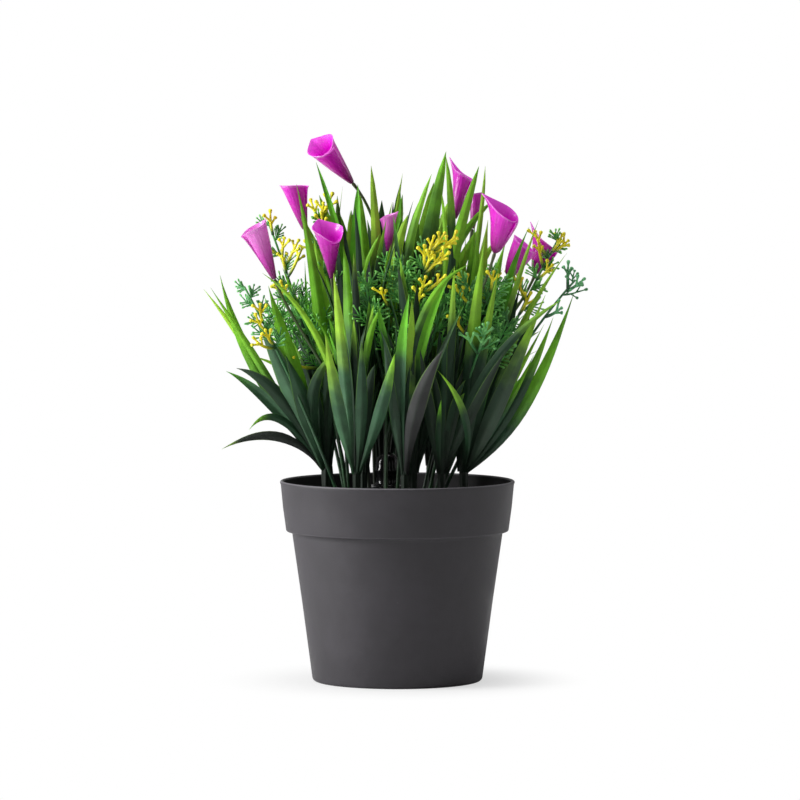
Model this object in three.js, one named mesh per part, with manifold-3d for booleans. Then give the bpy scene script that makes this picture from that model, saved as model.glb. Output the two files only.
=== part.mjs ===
/*
An artificial calla lily with grass in a round anthracite pot.
A cast filler closes the pot. Grass tufts stand in it in a ring inside the rim and close to the
middle, and a black hub in the middle holds the flower stems. Forked green sprigs stand between.
Millimetres, +Z up. The origin is the centre of the pot's flat underside. The front faces -Y.
*/
import * as THREE from 'three';
import { mergeVertices } from 'three/addons/utils/BufferGeometryUtils.js';
import Module from 'manifold-3d';

const wasm = await Module();
wasm.setup();

// Pot: a tapered body, and a wider collar that steps out below the rim.
const potHeight = 77;
const rimRadius = 45;
const collarHeight = 19;
const collarFootRadius = 42.5;
const bodyTopRadius = 40;
const baseRadius = 32.7;
const baseEdge = 1.5;
const lipRounding = 0.5;
const collarUnderside = 0.4;
const potWall = 1.4;
const potFloor = 1.8;
const potSides = 32;

// Gap between pieces that touch, and the distance within which points of one mesh are merged.
const clearance = 0.3;
const mergeDistance = 1e-4;

// Filler: cast into the pot, with its top below the rim.
const fillerTop = 62;

// Hub: a spigot in the filler, a shoulder with the flower sockets, and a domed post.
const hubPlace = new THREE.Vector2(-4, -2);
const hubSpigotRadius = 6;
const hubSpigotDepth = 8;
const hubShoulderRadius = 10.5;
const hubShoulderTop = 75;
const hubPostRadius = 4.3;
const hubTop = 88;
const hubEdge = 1;
const hubSides = 18;
const socketRing = 8.7;
const socketFloor = 70.5;

// Tuft stalks: round pegs in the filler, with the blades growing out of the top.
const stalkDepth = 10;
const stalkRadius = 2.3;
const crownRadius = 2.9;
const crownHeight = 84;
const stalkSides = 7;
const bladeRoot = 81;
const rootRing = 1.5;

// Blades: a third as wide at the root as at the widest place, with a keel along the back.
const bladeSegments = 4;
const widestAt = 0.45;
const rootShare = 0.35;
const taperPower = 1.7;
const bladeThickness = 0.35;
const keelShare = 0.2;

// Flowers: a funnel-shaped spathe of thin sheet on a round stem.
const flowerStemRadius = 0.8;
const stemSides = 5;
const stemSteps = 7;
const stemClimb = 0.4;
const spatheWall = 0.8;
const spatheFootRadius = 1.4;
const spatheSides = 10;
const throatShare = 0.3;

// Sprigs: a stem with twigs on alternate sides that thicken to a bud, and a fork at its end.
const sprigStemRadius = 0.8;
const sprigSides = 4;
const sprigSteps = 6;
const sprigDepth = 7;
const sprigRing = 14;
const twigRadius = 0.5;
const budRadius = 0.85;
const firstTwigAt = 0.52;
const twigSpan = 0.42;
const twigShortening = 0.4;
const forkAt = 0.98;
const forkSpread = 0.5;
const forkLength = 5;

// Ring of outer tufts, measured from the pot's axis.
const tuftRing = 27;

// A vector from three numbers.
const at = (x, y, z) => new THREE.Vector3(x, y, z);

// A unit vector that faces the front when the angle is 0 and turns towards +X as it grows.
function facing(degrees) {
  const angle = THREE.MathUtils.degToRad(degrees);
  return at(Math.sin(angle), -Math.cos(angle), 0);
}

// A point at a distance and an azimuth from a centre in plan.
function polar(centre, distance, degrees) {
  const angle = THREE.MathUtils.degToRad(degrees);
  return new THREE.Vector2(centre.x + distance * Math.cos(angle), centre.y + distance * Math.sin(angle));
}

// The curve from a root to a tip that passes the middle point halfway.
function curveThrough(root, middle, tip) {
  const control = middle.clone().multiplyScalar(2).addScaledVector(root, -0.5).addScaledVector(tip, -0.5);
  return new THREE.QuadraticBezierCurve3(root, control, tip);
}

// Six times the signed volume of an indexed mesh.
function signedVolume(positions, index) {
  const corner = (i) => at(positions[3 * i], positions[3 * i + 1], positions[3 * i + 2]);
  let volume = 0;
  for (let i = 0; i < index.length; i += 3) {
    volume += corner(index[i]).dot(corner(index[i + 1]).cross(corner(index[i + 2])));
  }
  return volume;
}

// A closed skin over a row of rings, which all have one number of points or are single points.
function loft(rings) {
  const positions = rings.flat().flatMap((p) => [p.x, p.y, p.z]);
  const index = [];
  let start = 0;
  for (let r = 0; r + 1 < rings.length; r += 1) {
    const low = rings[r].length;
    const high = rings[r + 1].length;
    const sides = Math.max(low, high);
    for (let i = 0; i < sides; i += 1) {
      const j = (i + 1) % sides;
      const a = start + (low > 1 ? i : 0);
      const b = start + (low > 1 ? j : 0);
      const c = start + low + (high > 1 ? j : 0);
      const d = start + low + (high > 1 ? i : 0);
      if (a !== b) index.push(a, b, c);
      if (c !== d) index.push(a, c, d);
    }
    start += low;
  }
  for (const [first, ring] of [[0, rings[0]], [start, rings.at(-1)]]) {
    const side = first === 0 ? 1 : -1;
    for (let i = 1; i + 1 < ring.length; i += 1) {
      if (side > 0) index.push(first, first + i + 1, first + i);
      else index.push(first, first + i, first + i + 1);
    }
  }
  if (signedVolume(positions, index) < 0) index.reverse();
  const geometry = new THREE.BufferGeometry();
  geometry.setAttribute('position', new THREE.Float32BufferAttribute(positions, 3));
  geometry.setIndex(index);
  return geometry;
}

// A geometry as a solid for joining and cutting.
function solidOf(geometry) {
  const bare = geometry.clone();
  bare.deleteAttribute('normal');
  bare.deleteAttribute('uv');
  const merged = mergeVertices(bare, mergeDistance);
  return new wasm.Manifold(new wasm.Mesh({
    numProp: 3,
    vertProperties: new Float32Array(merged.attributes.position.array),
    triVerts: new Uint32Array(merged.index.array),
  }));
}

// A joined or cut solid as a geometry again.
function geometryOf(solid) {
  const mesh = solid.getMesh();
  const geometry = new THREE.BufferGeometry();
  geometry.setAttribute('position', new THREE.Float32BufferAttribute(mesh.vertProperties, 3));
  geometry.setIndex(Array.from(mesh.triVerts));
  return geometry;
}

// One solid from many that overlap.
function joined(solids) {
  return solids.reduce((sum, solid) => sum.add(solid));
}

// A round tube along a curve, closed at both ends.
function tube(curve, radius, sides, steps) {
  const section = new THREE.Shape();
  for (let i = 0; i < sides; i += 1) {
    const angle = (2 * Math.PI * i) / sides;
    const x = radius * Math.cos(angle);
    const y = radius * Math.sin(angle);
    if (i === 0) section.moveTo(x, y);
    else section.lineTo(x, y);
  }
  return new THREE.ExtrudeGeometry(section, { steps, extrudePath: curve, curveSegments: 1 });
}

const plant = new THREE.Group();

// Adds a named piece to the plant, with its faces pointing out.
function piece(name, solid, colour, roughness) {
  const geometry = geometryOf(solid);
  geometry.computeVertexNormals();
  const material = new THREE.MeshStandardMaterial({ color: colour, roughness, metalness: 0 });
  const mesh = new THREE.Mesh(geometry, material);
  mesh.name = name;
  plant.add(mesh);
}

// A turned solid from a profile of radius and height, placed in plan.
function turnedSolid(profile, sides, place) {
  const points = profile.map(([radius, height]) => new THREE.Vector2(radius, height));
  const lathe = new THREE.LatheGeometry(points, sides);
  lathe.rotateX(Math.PI / 2);
  lathe.translate(place.x, place.y, 0);
  const bare = new THREE.BufferGeometry();
  bare.setAttribute('position', lathe.attributes.position);
  bare.setIndex(lathe.index);
  const merged = mergeVertices(bare, mergeDistance);
  const index = Array.from(merged.index.array);
  if (signedVolume(merged.attributes.position.array, index) < 0) index.reverse();
  merged.setIndex(index);
  return solidOf(merged);
}

// Pot. The wall follows the outside, with a rounded lip, and the underside is flat.
const collarFoot = potHeight - collarHeight;
const origin = new THREE.Vector2(0, 0);
const potProfile = [
  [0, 0],
  [baseRadius - baseEdge, 0],
  [baseRadius - 0.3 * baseEdge, 0.3 * baseEdge],
  [baseRadius, baseEdge],
  [bodyTopRadius, collarFoot - collarUnderside],
  [collarFootRadius - collarUnderside, collarFoot - collarUnderside],
  [collarFootRadius, collarFoot],
  [rimRadius, potHeight - lipRounding],
  [rimRadius - lipRounding, potHeight],
  [rimRadius - potWall + lipRounding, potHeight],
  [rimRadius - potWall, potHeight - lipRounding],
  [collarFootRadius - potWall, collarFoot + 0.5 * potWall],
  [bodyTopRadius - potWall, collarFoot - potWall],
  [baseRadius - potWall, potFloor + baseEdge],
  [baseRadius - potWall - baseEdge, potFloor],
  [0, potFloor],
];
piece('pot', turnedSolid(potProfile, potSides, origin), 0x56535a, 0.62);

// Filler. Its side keeps clear of the pot's wall, and the holes for what stands in it are cut below.
const fillerInset = potWall + 1.3 * clearance;
const fillerProfile = [
  [0, potFloor + clearance],
  [baseRadius - fillerInset - baseEdge, potFloor + clearance],
  [baseRadius - fillerInset, potFloor + baseEdge + clearance],
  [bodyTopRadius - fillerInset, collarFoot - potWall],
  [collarFootRadius - fillerInset, collarFoot + potWall],
  [collarFootRadius - potWall, fillerTop],
  [0, fillerTop],
];
let filler = turnedSolid(fillerProfile, potSides, origin);

// Hub.
const hubProfile = [
  [0, fillerTop - hubSpigotDepth],
  [hubSpigotRadius, fillerTop - hubSpigotDepth],
  [hubSpigotRadius, fillerTop + clearance],
  [hubShoulderRadius, fillerTop + clearance],
  [hubShoulderRadius, hubShoulderTop - hubEdge],
  [hubShoulderRadius - hubEdge, hubShoulderTop],
  [hubPostRadius + hubEdge, hubShoulderTop + hubEdge],
  [hubPostRadius, hubShoulderTop + 3 * hubEdge],
  [hubPostRadius, hubTop - 0.8 * hubPostRadius],
  [0.6 * hubPostRadius, hubTop - 0.2 * hubPostRadius],
  [0, hubTop],
];
let hub = turnedSolid(hubProfile, hubSides, hubPlace);
const spigotSocket = [
  [0, fillerTop - hubSpigotDepth - clearance],
  [hubSpigotRadius + clearance, fillerTop - hubSpigotDepth - clearance],
  [hubSpigotRadius + clearance, fillerTop + hubEdge],
  [0, fillerTop + hubEdge],
];
filler = filler.subtract(turnedSolid(spigotSocket, hubSides, hubPlace));

// A grass blade: a folded strip with a keel, widest below the middle and pointed at the tip.
function blade(crown, [tipX, tipY, tipZ, midX, midY, midZ, width, face], grow = 0) {
  const lean = new THREE.Vector2(midX, midY).sub(crown).setLength(rootRing);
  const root = at(crown.x + lean.x, crown.y + lean.y, bladeRoot);
  const curve = curveThrough(root, at(midX, midY, midZ), at(tipX, tipY, tipZ));
  const rings = [];
  for (let i = 0; i < bladeSegments; i += 1) {
    const t = i / bladeSegments;
    const widening = rootShare + ((1 - rootShare) * t) / widestAt;
    const tapering = 1 - (Math.max(0, t - widestAt) / (1 - widestAt)) ** taperPower;
    const spread = Math.min(widening, tapering);
    const centre = curve.getPoint(t);
    const along = curve.getTangent(t);
    const across = along.clone().cross(facing(face)).normalize();
    const out = across.clone().cross(along).normalize();
    const half = 0.5 * width * spread + grow;
    const front = 0.3 * bladeThickness + grow;
    const keel = bladeThickness + keelShare * half + grow;
    rings.push([
      centre.clone().addScaledVector(across, half).addScaledVector(out, front),
      centre.clone().addScaledVector(across, -half).addScaledVector(out, front),
      centre.clone().addScaledVector(out, -keel),
    ]);
  }
  rings.push([curve.getPoint(1)]);
  return solidOf(loft(rings));
}

// A stalk: a peg in the filler that widens to a rounded crown.
function stalk(crown, grow = 0) {
  const bottom = fillerTop - stalkDepth + clearance - grow;
  const profile = [
    [0, bottom],
    [stalkRadius + grow, bottom],
    [stalkRadius + grow, fillerTop + 6],
    [crownRadius + grow, crownHeight - 3],
    [0.6 * crownRadius + grow, crownHeight],
    [0, crownHeight + grow],
  ];
  return turnedSolid(profile, stalkSides, crown);
}

// Blades of the tufts in view. A row is the tip, the point halfway and the width, in millimetres,
// and the angle that the broad side faces, where 0 is the front and 90 is +X.
const tufts = [
  { name: 'grass_tuft_left', crown: polar(origin, tuftRing, 180), blades: [
    [-67.5, -9, 90.5, -51.5, -5, 96, 4.2, 10],
    [-65.5, -3, 119, -48, -2, 106, 4.2, -10],
    [-63, 4, 122, -45, 3, 110.5, 5.6, 0],
    [-68, 4, 155.5, -54, 3, 119, 4.4, 15],
    [-74.5, 9, 150, -53, 6, 120.5, 3.2, -15],
    [-71.5, -2, 151, -51.5, -1, 119.5, 3, 5],
    [-54, -13, 141, -38.5, -8, 108, 7.6, -12],
    [-42.5, -17, 126, -35, -11, 104.5, 5.8, 20],
    [-57.5, 11, 123.5, -45, 8, 105.5, 3, 0],
    [-57.5, -11, 98.5, -43.5, -8, 102, 3.2, 30],
    [-49, -4, 152, -39, -3, 117.5, 6.2, 0],
    [-22.5, -20, 128, -32.5, -14, 108.5, 5, -15],
    [-38.5, -4, 190.5, -29, -4, 134.5, 4.6, 10],
    [-32, -1, 170.5, -27.5, -2, 131.5, 4.6, -20],
    [-35.5, 5, 161, -33, 4, 120, 2.8, 0],
    [-21, 6, 189.5, -26, 5, 133, 1.8, 0],
  ] },
  { name: 'grass_tuft_front_left', crown: polar(origin, tuftRing, 235), blades: [
    [-27, -40, 135, -22, -31, 105.5, 5, 0],
    [-33.5, -18, 144.5, -20, -18, 115, 2, 10],
    [-20.5, -14, 167, -17, -19, 128, 6.2, 0],
    [-24, -31, 157.5, -20, -27, 119.5, 5, -15],
    [-51, -30, 157.5, -28.5, -26, 129, 2.4, 10],
    [-6.5, -18, 148, -14, -21, 123.5, 2.4, 0],
    [-6, -34, 144.5, -12.5, -27, 122, 3.2, 20],
    [-13.5, -38, 132, -13.5, -31, 106.5, 4.6, 0],
    [-1, -43, 127.5, -6.5, -35, 105.5, 5.6, -15],
  ] },
  { name: 'grass_tuft_front', crown: polar(origin, tuftRing, 276), blades: [
    [-5, -40, 131.5, -1.5, -34, 107.5, 3.8, -10],
    [-7.5, -37, 146, -3, -30, 119.5, 3.8, 10],
    [4.5, -46, 150, 1, -36, 117.5, 5, -20],
    [5.5, -43, 148, 5, -35, 118, 4.6, 20],
    [21, -38, 159.5, 8, -31, 124.5, 3.8, 0],
    [18.5, -52, 136, 7.5, -39, 110, 7.6, 0],
    [27.5, -30, 161.5, 7.5, -28, 136.5, 4, 0],
    [25.5, -46, 147, 11, -36, 113.5, 2.4, 0],
  ] },
  { name: 'grass_tuft_front_right', crown: polar(origin, tuftRing, 308), blades: [
    [8.5, -40, 129, 12.5, -30, 103.5, 4.4, 0],
    [16.5, -38, 110, 15.5, -29, 96, 2.2, 10],
    [61.5, -42, 147.5, 32.5, -31, 121, 5, 0],
    [21.5, -28, 160, 19.5, -25, 119.5, 4, -15],
    [40.5, -45, 129, 29, -34, 106.5, 3.8, 10],
  ] },
  { name: 'grass_tuft_right', crown: polar(origin, tuftRing, 338), blades: [
    [54.5, -22, 154, 39, -16, 115, 7.6, -5],
    [67.5, -3, 149, 48.5, -5, 106, 5, 5],
    [59.5, -7, 140, 45, -7, 107.5, 4.2, -10],
    [56, -11, 137.5, 42, -10, 111, 2.2, 0],
    [49.5, -12, 119.5, 38.5, -11, 104, 2.8, 0],
    [45.5, -15, 160, 35.5, -13, 120, 4, 20],
    [34.5, -13, 177, 29, -11, 130, 4.4, 0],
    [26, -6, 170.5, 25, -8, 127, 4.2, 15],
    [52, -8, 125.5, 41, -8, 104.5, 2.4, 0],
    [15, -42, 122, 25.5, -32, 103.5, 3.8, 0],
  ] },
  { name: 'grass_tuft_centre_left', crown: new THREE.Vector2(-13, -12), blades: [
    [-31, -7, 199, -14.5, -10, 134.5, 4.6, 0],
    [-10, -4, 197.5, -7.5, -9, 137.5, 5, 0],
    [-15, -12, 190.5, -10.5, -14, 136, 6, 0],
    [2, 0, 194.5, -6.5, -4, 135.5, 2.2, 0],
    [-17, -9, 172.5, -15, -12, 128, 4.4, 30],
    [-20, -12, 153, -16, -14, 115, 4.4, -20],
  ] },
  { name: 'grass_tuft_centre_right', crown: new THREE.Vector2(6, -16), blades: [
    [18.5, -12, 203, 6.5, -14, 141.5, 6.4, 0],
    [13, -14, 194.5, 0, -16, 139, 4.4, -10],
    [18.5, -6, 201, 19.5, -17, 147.5, 4, 10],
    [16.5, -12, 189, 17.5, -17, 140, 2.6, 0],
    [4, -14, 179, -2, -17, 140, 5.4, -10],
    [31, -14, 197.5, 16, -15, 143.5, 6.2, 0],
    [33.5, -6, 197.5, 25.5, -5, 141.5, 2.6, 0],
    [37, 0, 184.5, 14.5, -5, 146, 4, 10],
  ] },
];

// Tufts out of view: blades fanned about the tuft's own azimuth, the outer ones lower and longer.
function rosette(crown, azimuth, count, reach, top) {
  const rows = [];
  for (let i = 0; i < count; i += 1) {
    const share = (i + 0.5) / count;
    const fan = 26 * (((i * 0.618) % 1) - 0.5);
    const out = reach * (0.15 + 0.85 * share);
    const rise = (top - crownHeight) * (1 - 0.75 * share ** 1.6);
    const tip = polar(crown, out, azimuth + fan);
    const middle = polar(crown, 0.38 * out, azimuth + 0.6 * fan);
    const width = 3 + 2.6 * ((i * 0.382) % 1);
    const face = azimuth + 90 + 50 * (((i * 0.272) % 1) - 0.5);
    rows.push([tip.x, tip.y, crownHeight + rise,
      middle.x, middle.y, crownHeight + 0.62 * rise, width, face]);
  }
  return rows;
}
for (const [name, crown, azimuth, count, reach, top] of [
  ['grass_tuft_back_right', polar(origin, tuftRing, 18), 18, 9, 42, 168],
  ['grass_tuft_right_rear', polar(origin, tuftRing, 62), 62, 9, 40, 172],
  ['grass_tuft_back', polar(origin, tuftRing, 105), 105, 9, 40, 170],
  ['grass_tuft_left_rear', polar(origin, tuftRing, 126), 163, 9, 44, 164],
  ['grass_tuft_centre_back', new THREE.Vector2(-6, 14), 100, 7, 16, 192],
]) {
  tufts.push({ name, crown, blades: rosette(crown, azimuth, count, reach, top) });
}

for (const tuft of tufts) {
  const parts = [stalk(tuft.crown), ...tuft.blades.map((row) => blade(tuft.crown, row))];
  piece(tuft.name, joined(parts), 0x3f6b34, 0.5);
  filler = filler.subtract(stalk(tuft.crown, clearance));
}

// A spathe: a thin funnel from its foot to an oblique mouth, drawn out to a point on one side.
// Its mouth leans up towards the point, and t runs from 0 at the foot to 1 at the mouth.
function spathe([, foot, mouth, radius, lip, point], grow = 0) {
  const axis = mouth.clone().sub(foot);
  const length = axis.length();
  axis.normalize();
  const towardsLip = lip.clone().addScaledVector(axis, -lip.dot(axis)).normalize();
  const sideways = axis.clone().cross(towardsLip);
  const ring = (t, inset) => {
    const spread = spatheFootRadius + (radius - spatheFootRadius) * t ** 1.3 - inset;
    const points = [];
    for (let i = 0; i < spatheSides; i += 1) {
      const angle = (2 * Math.PI * i) / spatheSides;
      const tilt = Math.cos(angle);
      const drawn = Math.max(0, tilt) ** 5 * t ** 4 * point;
      const height = length * t + 0.35 * spread * tilt * t * t + 0.7 * drawn - 0.25 * inset;
      points.push(foot.clone()
        .addScaledVector(axis, height)
        .addScaledVector(towardsLip, spread * tilt + 0.6 * drawn)
        .addScaledVector(sideways, spread * Math.sin(angle)));
    }
    return points;
  };
  const outer = [0, 0.22, 0.5, 0.78, 1].map((t) => ring(t, -grow));
  const inner = [1, 0.6].map((t) => ring(t, spatheWall));
  const throat = foot.clone().addScaledVector(axis, throatShare * length);
  return solidOf(loft([...outer, ...inner, [throat]]));
}

// A flower stem: straight up out of its socket in the hub, then over to the spathe's foot.
function flowerStem([socket, foot, mouth, , , , climb = stemClimb], drop = 0) {
  const place = polar(hubPlace, socketRing, socket);
  const start = at(place.x, place.y, socketFloor - drop);
  const axis = mouth.clone().sub(foot).normalize();
  const end = foot.clone().addScaledVector(axis, -clearance);
  const rise = climb * (end.z - start.z);
  return new THREE.CubicBezierCurve3(
    start,
    start.clone().add(at(0, 0, rise)),
    end.clone().addScaledVector(axis, -0.3 * (end.z - start.z)),
    end,
  );
}

// Flowers. A row is the azimuth of the socket, the spathe's foot, the middle of its mouth, the
// radius there, the side that its point is on, how far the point is drawn out and, where it isn't
// the usual share, how far the stem climbs before it leans.
const flowers = [
  [156, at(-17.4, 6, 191), at(-29.6, -2, 205), 6, at(-0.3, 1, 0.3), 4],
  [177, at(-35.6, 12, 173), at(-40, 12, 188.5), 4.6, at(-1, 0, 1), 0.5],
  [219, at(-46.5, -23, 155), at(-54.4, -26, 176), 5.4, at(1, 0, 0.6), 0.5],
  [198, at(-25, -9, 155), at(-26.4, -16, 173), 6, at(-0.5, 1, 0), 2],
  [265, at(-3.4, -9, 164.5), at(-3.2, -10, 179), 3, at(1, 0, 0.5), 0.5],
  [51, at(22, 18, 175), at(26, 20, 191), 3.6, at(-0.6, 0.8, 0), 8],
  [30, at(29, 23, 173), at(31, 25, 186.5), 2.6, at(1, 0, 0.5), 0],
  [325, at(37, -29, 166), at(41.5, -32, 183), 5.2, at(-1, 0, 0.3), 7, 0.2],
  [348, at(42.3, -8, 155.5), at(49, -10, 168), 4, at(-0.6, 0, 1), 1],
  [9, at(52, 9, 157), at(56, 11, 167.5), 4.4, at(-1, 0, 0.7), 7],
  [72, at(15, 20, 160), at(16, 22, 176), 3.6, at(1, 0, 0), 1],
  [122, at(-17, 38, 148), at(-20, 46, 161), 5.4, at(0, 1, 0), 4],
  [141, at(-27, 15, 138), at(-31, 18, 150), 4.2, at(-1, 1, 0), 2],
  [93, at(9, 38, 148), at(11, 46, 161), 5, at(1, 1, 0), 3],
];

// What later pieces have to stay clear of.
const carried = [];
flowers.forEach((flower, i) => {
  const number = i + 1;
  const stemCurve = flowerStem(flower);
  const stem = solidOf(tube(stemCurve, flowerStemRadius, stemSides, stemSteps));
  piece(`flower_stem_${number}`, stem, 0x4f6a2c, 0.5);
  piece(`flower_${number}`, spathe(flower), 0xc832b4, 0.32);
  const socketCurve = flowerStem(flower, clearance);
  const socket = solidOf(tube(socketCurve, flowerStemRadius + clearance, stemSides, stemSteps));
  hub = hub.subtract(socket);
  carried.push(stem, spathe(flower, clearance));
});
piece('stem_hub', hub, 0x0c0c0d, 0.15);

// A short twig from one point to another, with a radius at its foot and at its bud.
function twig(from, to, radius, tipRadius) {
  const along = to.clone().sub(from);
  const length = along.length();
  along.normalize();
  const across = along.clone().cross(Math.abs(along.z) < 0.8 ? at(0, 0, 1) : at(1, 0, 0)).normalize();
  const other = along.clone().cross(across);
  const corner = (2 * Math.PI) / 3;
  const ring = (t, r) => [0, 1, 2].map((i) => from.clone()
    .addScaledVector(along, t * length)
    .addScaledVector(across, r * Math.cos(i * corner))
    .addScaledVector(other, r * Math.sin(i * corner)));
  return solidOf(loft([ring(0, radius), ring(0.75, tipRadius), [to]]));
}

// Sprigs: the azimuth of the foot about the hub, the end of the stem, the point halfway along it,
// the angle that the flat of the spray faces, the number of twigs, and their length. A twig that
// would touch a flower, a flower stem or an earlier sprig is left off.
const sprigs = [
  ['sprig_left_top', 176, at(-29, 1, 178), at(-22, 1, 120), 10, 5, 8],
  ['sprig_left_high', 158, at(-50, 17, 176), at(-31, 10, 118), 0, 6, 9],
  ['sprig_left', 207, at(-62, -28, 150), at(-36, -18, 106), -10, 6, 10],
  ['sprig_left_front', 190, at(-40, -12, 152), at(-26, -9, 108), 0, 7, 10],
  ['sprig_centre', 270, at(-2, -22, 160), at(-4, -18, 112), 0, 7, 10],
  ['sprig_centre_right', 285, at(12, -24, 166), at(3, -20, 114), 5, 6, 9],
  ['sprig_right_front', 338, at(38, -21, 156), at(21, -15, 110), 10, 7, 10],
  ['sprig_front_low', 352, at(33, -28, 134), at(22, -15, 100), 0, 5, 8],
  ['sprig_right', 5, at(68, -4, 154), at(38, -2, 112), 0, 6, 10],
  ['sprig_right_high', 20, at(62, 4, 170), at(36, 4, 118), -10, 6, 9],
  ['sprig_back_right', 42, at(36, 32, 152), at(20, 18, 110), 130, 6, 9],
  ['sprig_back', 84, at(4, 42, 150), at(0, 26, 108), 180, 6, 9],
  ['sprig_back_left', 150, at(-44, 21, 148), at(-27, 13, 108), 220, 6, 9],
];
for (const [name, foot, end, middle, face, branches, reach] of sprigs) {
  const place = polar(hubPlace, sprigRing, foot);
  const root = at(place.x, place.y, fillerTop - sprigDepth);
  const curve = curveThrough(root, middle, end);
  const holeCurve = curveThrough(root.clone().add(at(0, 0, -clearance)), middle, end);
  let spray = solidOf(tube(curve, sprigStemRadius, sprigSides, sprigSteps));
  const hole = solidOf(tube(holeCurve, sprigStemRadius + clearance, sprigSides, sprigSteps));
  filler = filler.subtract(hole);
  const side = curve.getTangent(1).cross(facing(face)).normalize();
  const ends = [];
  for (let i = 0; i < branches; i += 1) {
    const share = i / branches;
    const t = firstTwigAt + twigSpan * share;
    const turn = i % 2 === 0 ? 1 : -1;
    const direction = curve.getTangent(t).addScaledVector(side, turn).normalize();
    ends.push([curve.getPoint(t), direction, reach * (1 - twigShortening * share)]);
  }
  for (const turn of [-forkSpread, forkSpread]) {
    const direction = curve.getTangent(1).addScaledVector(side, turn).normalize();
    ends.push([curve.getPoint(forkAt), direction, forkLength]);
  }
  for (const [from, direction, length] of ends) {
    const to = from.clone().addScaledVector(direction, length);
    const wide = twig(from, to, twigRadius + clearance, budRadius + clearance);
    if (carried.every((other) => other.intersect(wide).isEmpty())) {
      spray = spray.add(twig(from, to, twigRadius, budRadius));
    }
  }
  piece(name, spray, 0x2f7a4a, 0.5);
  carried.push(spray);
}
piece('planting_filler', filler, 0x2a2622, 0.95);

export default plant;
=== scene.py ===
import bpy
import numpy as np
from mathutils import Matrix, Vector


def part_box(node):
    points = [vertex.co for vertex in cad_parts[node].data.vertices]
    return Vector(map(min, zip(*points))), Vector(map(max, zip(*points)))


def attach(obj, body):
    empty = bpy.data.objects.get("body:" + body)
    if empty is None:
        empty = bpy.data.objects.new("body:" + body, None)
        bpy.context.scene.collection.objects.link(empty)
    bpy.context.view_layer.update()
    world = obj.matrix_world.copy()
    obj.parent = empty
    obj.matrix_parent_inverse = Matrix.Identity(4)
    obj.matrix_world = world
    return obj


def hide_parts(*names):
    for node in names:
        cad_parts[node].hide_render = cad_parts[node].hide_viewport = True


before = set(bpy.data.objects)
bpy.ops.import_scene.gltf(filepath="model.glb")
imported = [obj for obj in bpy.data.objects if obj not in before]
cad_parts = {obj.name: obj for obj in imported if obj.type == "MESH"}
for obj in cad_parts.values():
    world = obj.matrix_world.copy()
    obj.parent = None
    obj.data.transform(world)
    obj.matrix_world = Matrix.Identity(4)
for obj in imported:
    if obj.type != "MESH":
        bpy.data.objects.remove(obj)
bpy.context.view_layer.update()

# Camera: a long lens at the height of the flowers, two metres in front of the pot.
camera_place = Vector((0.001, -1.997, 0.2203))
camera_target = Vector((0.001, 0.0, 0.1078))
camera_data = bpy.data.cameras.new("camera")
camera_data.sensor_width = 36.0
camera_data.lens = 235.0
camera = bpy.data.objects.new("camera", camera_data)
camera.location = camera_place
camera.rotation_euler = (camera_target - camera_place).to_track_quat("-Z", "Y").to_euler()
bpy.context.scene.collection.objects.link(camera)
bpy.context.scene.camera = camera
bpy.context.scene.view_settings.view_transform = "Standard"


# Floor and light. The pot stands on a plain pale sweep that fades into a white surround. A large
# soft light stands at the left, weak ones hang above and stand behind at the right, and the
# surround itself adds a sheen.
def set_inputs(tree, node, inputs):
    """Each input of a node linked from a socket, or set to a value. A colour has three numbers."""
    for key, value in inputs.items():
        if isinstance(value, bpy.types.NodeSocket):
            tree.links.new(value, node.inputs[key])
        elif node.inputs[key].type == "RGBA":
            node.inputs[key].default_value = (*value, 1.0)
        else:
            node.inputs[key].default_value = value


def add_node(tree, kind, inputs=None, **settings):
    """A shader node with its settings and inputs."""
    node = tree.nodes.new(kind)
    for key, value in settings.items():
        setattr(node, key, value)
    set_inputs(tree, node, inputs or {})
    return node


def new_material(name):
    """A material with one Principled shader, as (material, its tree, the shader)."""
    made = bpy.data.materials.new(name)
    made.use_nodes = True
    made.node_tree.nodes.clear()
    shader = add_node(made.node_tree, "ShaderNodeBsdfPrincipled")
    add_node(made.node_tree, "ShaderNodeOutputMaterial", {"Surface": shader.outputs["BSDF"]})
    return made, made.node_tree, shader


def on_piece(tree):
    """Object coordinates, in metres."""
    return add_node(tree, "ShaderNodeTexCoord").outputs["Object"]


floor_half = 3.0
fade_start = 0.03
fade_end = 0.075
corners = [(x * floor_half, y * floor_half, 0) for x, y in ((-1, -1), (1, -1), (1, 1), (-1, 1))]
floor_mesh = bpy.data.meshes.new("floor")
floor_mesh.from_pydata(corners, [], [(0, 1, 2, 3)])
floor = bpy.data.objects.new("floor", floor_mesh)
bpy.context.scene.collection.objects.link(floor)
floor_paint, tree, shader = new_material("floor_paper")
paper = on_piece(tree)
fibre = add_node(tree, "ShaderNodeTexNoise", {"Vector": paper, "Scale": 400.0}).outputs["Fac"]
pale = add_node(tree, "ShaderNodeMapRange", {"Value": fibre, "To Min": 0.84, "To Max": 0.90})
set_inputs(tree, shader, {
    "Base Color": pale.outputs["Result"], "Roughness": 0.9, "Specular IOR Level": 0.1})
away = add_node(tree, "ShaderNodeVectorMath", {0: paper}, operation="LENGTH").outputs["Value"]
faded = add_node(tree, "ShaderNodeMapRange", {
    "Value": away, "From Min": fade_start, "From Max": fade_end, "To Min": 0.6},
    interpolation_type="SMOOTHSTEP").outputs["Result"]
seen = add_node(tree, "ShaderNodeLightPath").outputs["Is Camera Ray"]
share = add_node(tree, "ShaderNodeMath", {0: faded, 1: seen}, operation="MULTIPLY").outputs[0]
white = add_node(tree, "ShaderNodeEmission", {"Strength": 1.0}).outputs[0]
either = add_node(tree, "ShaderNodeMixShader", {0: share, 1: shader.outputs["BSDF"], 2: white})
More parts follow.
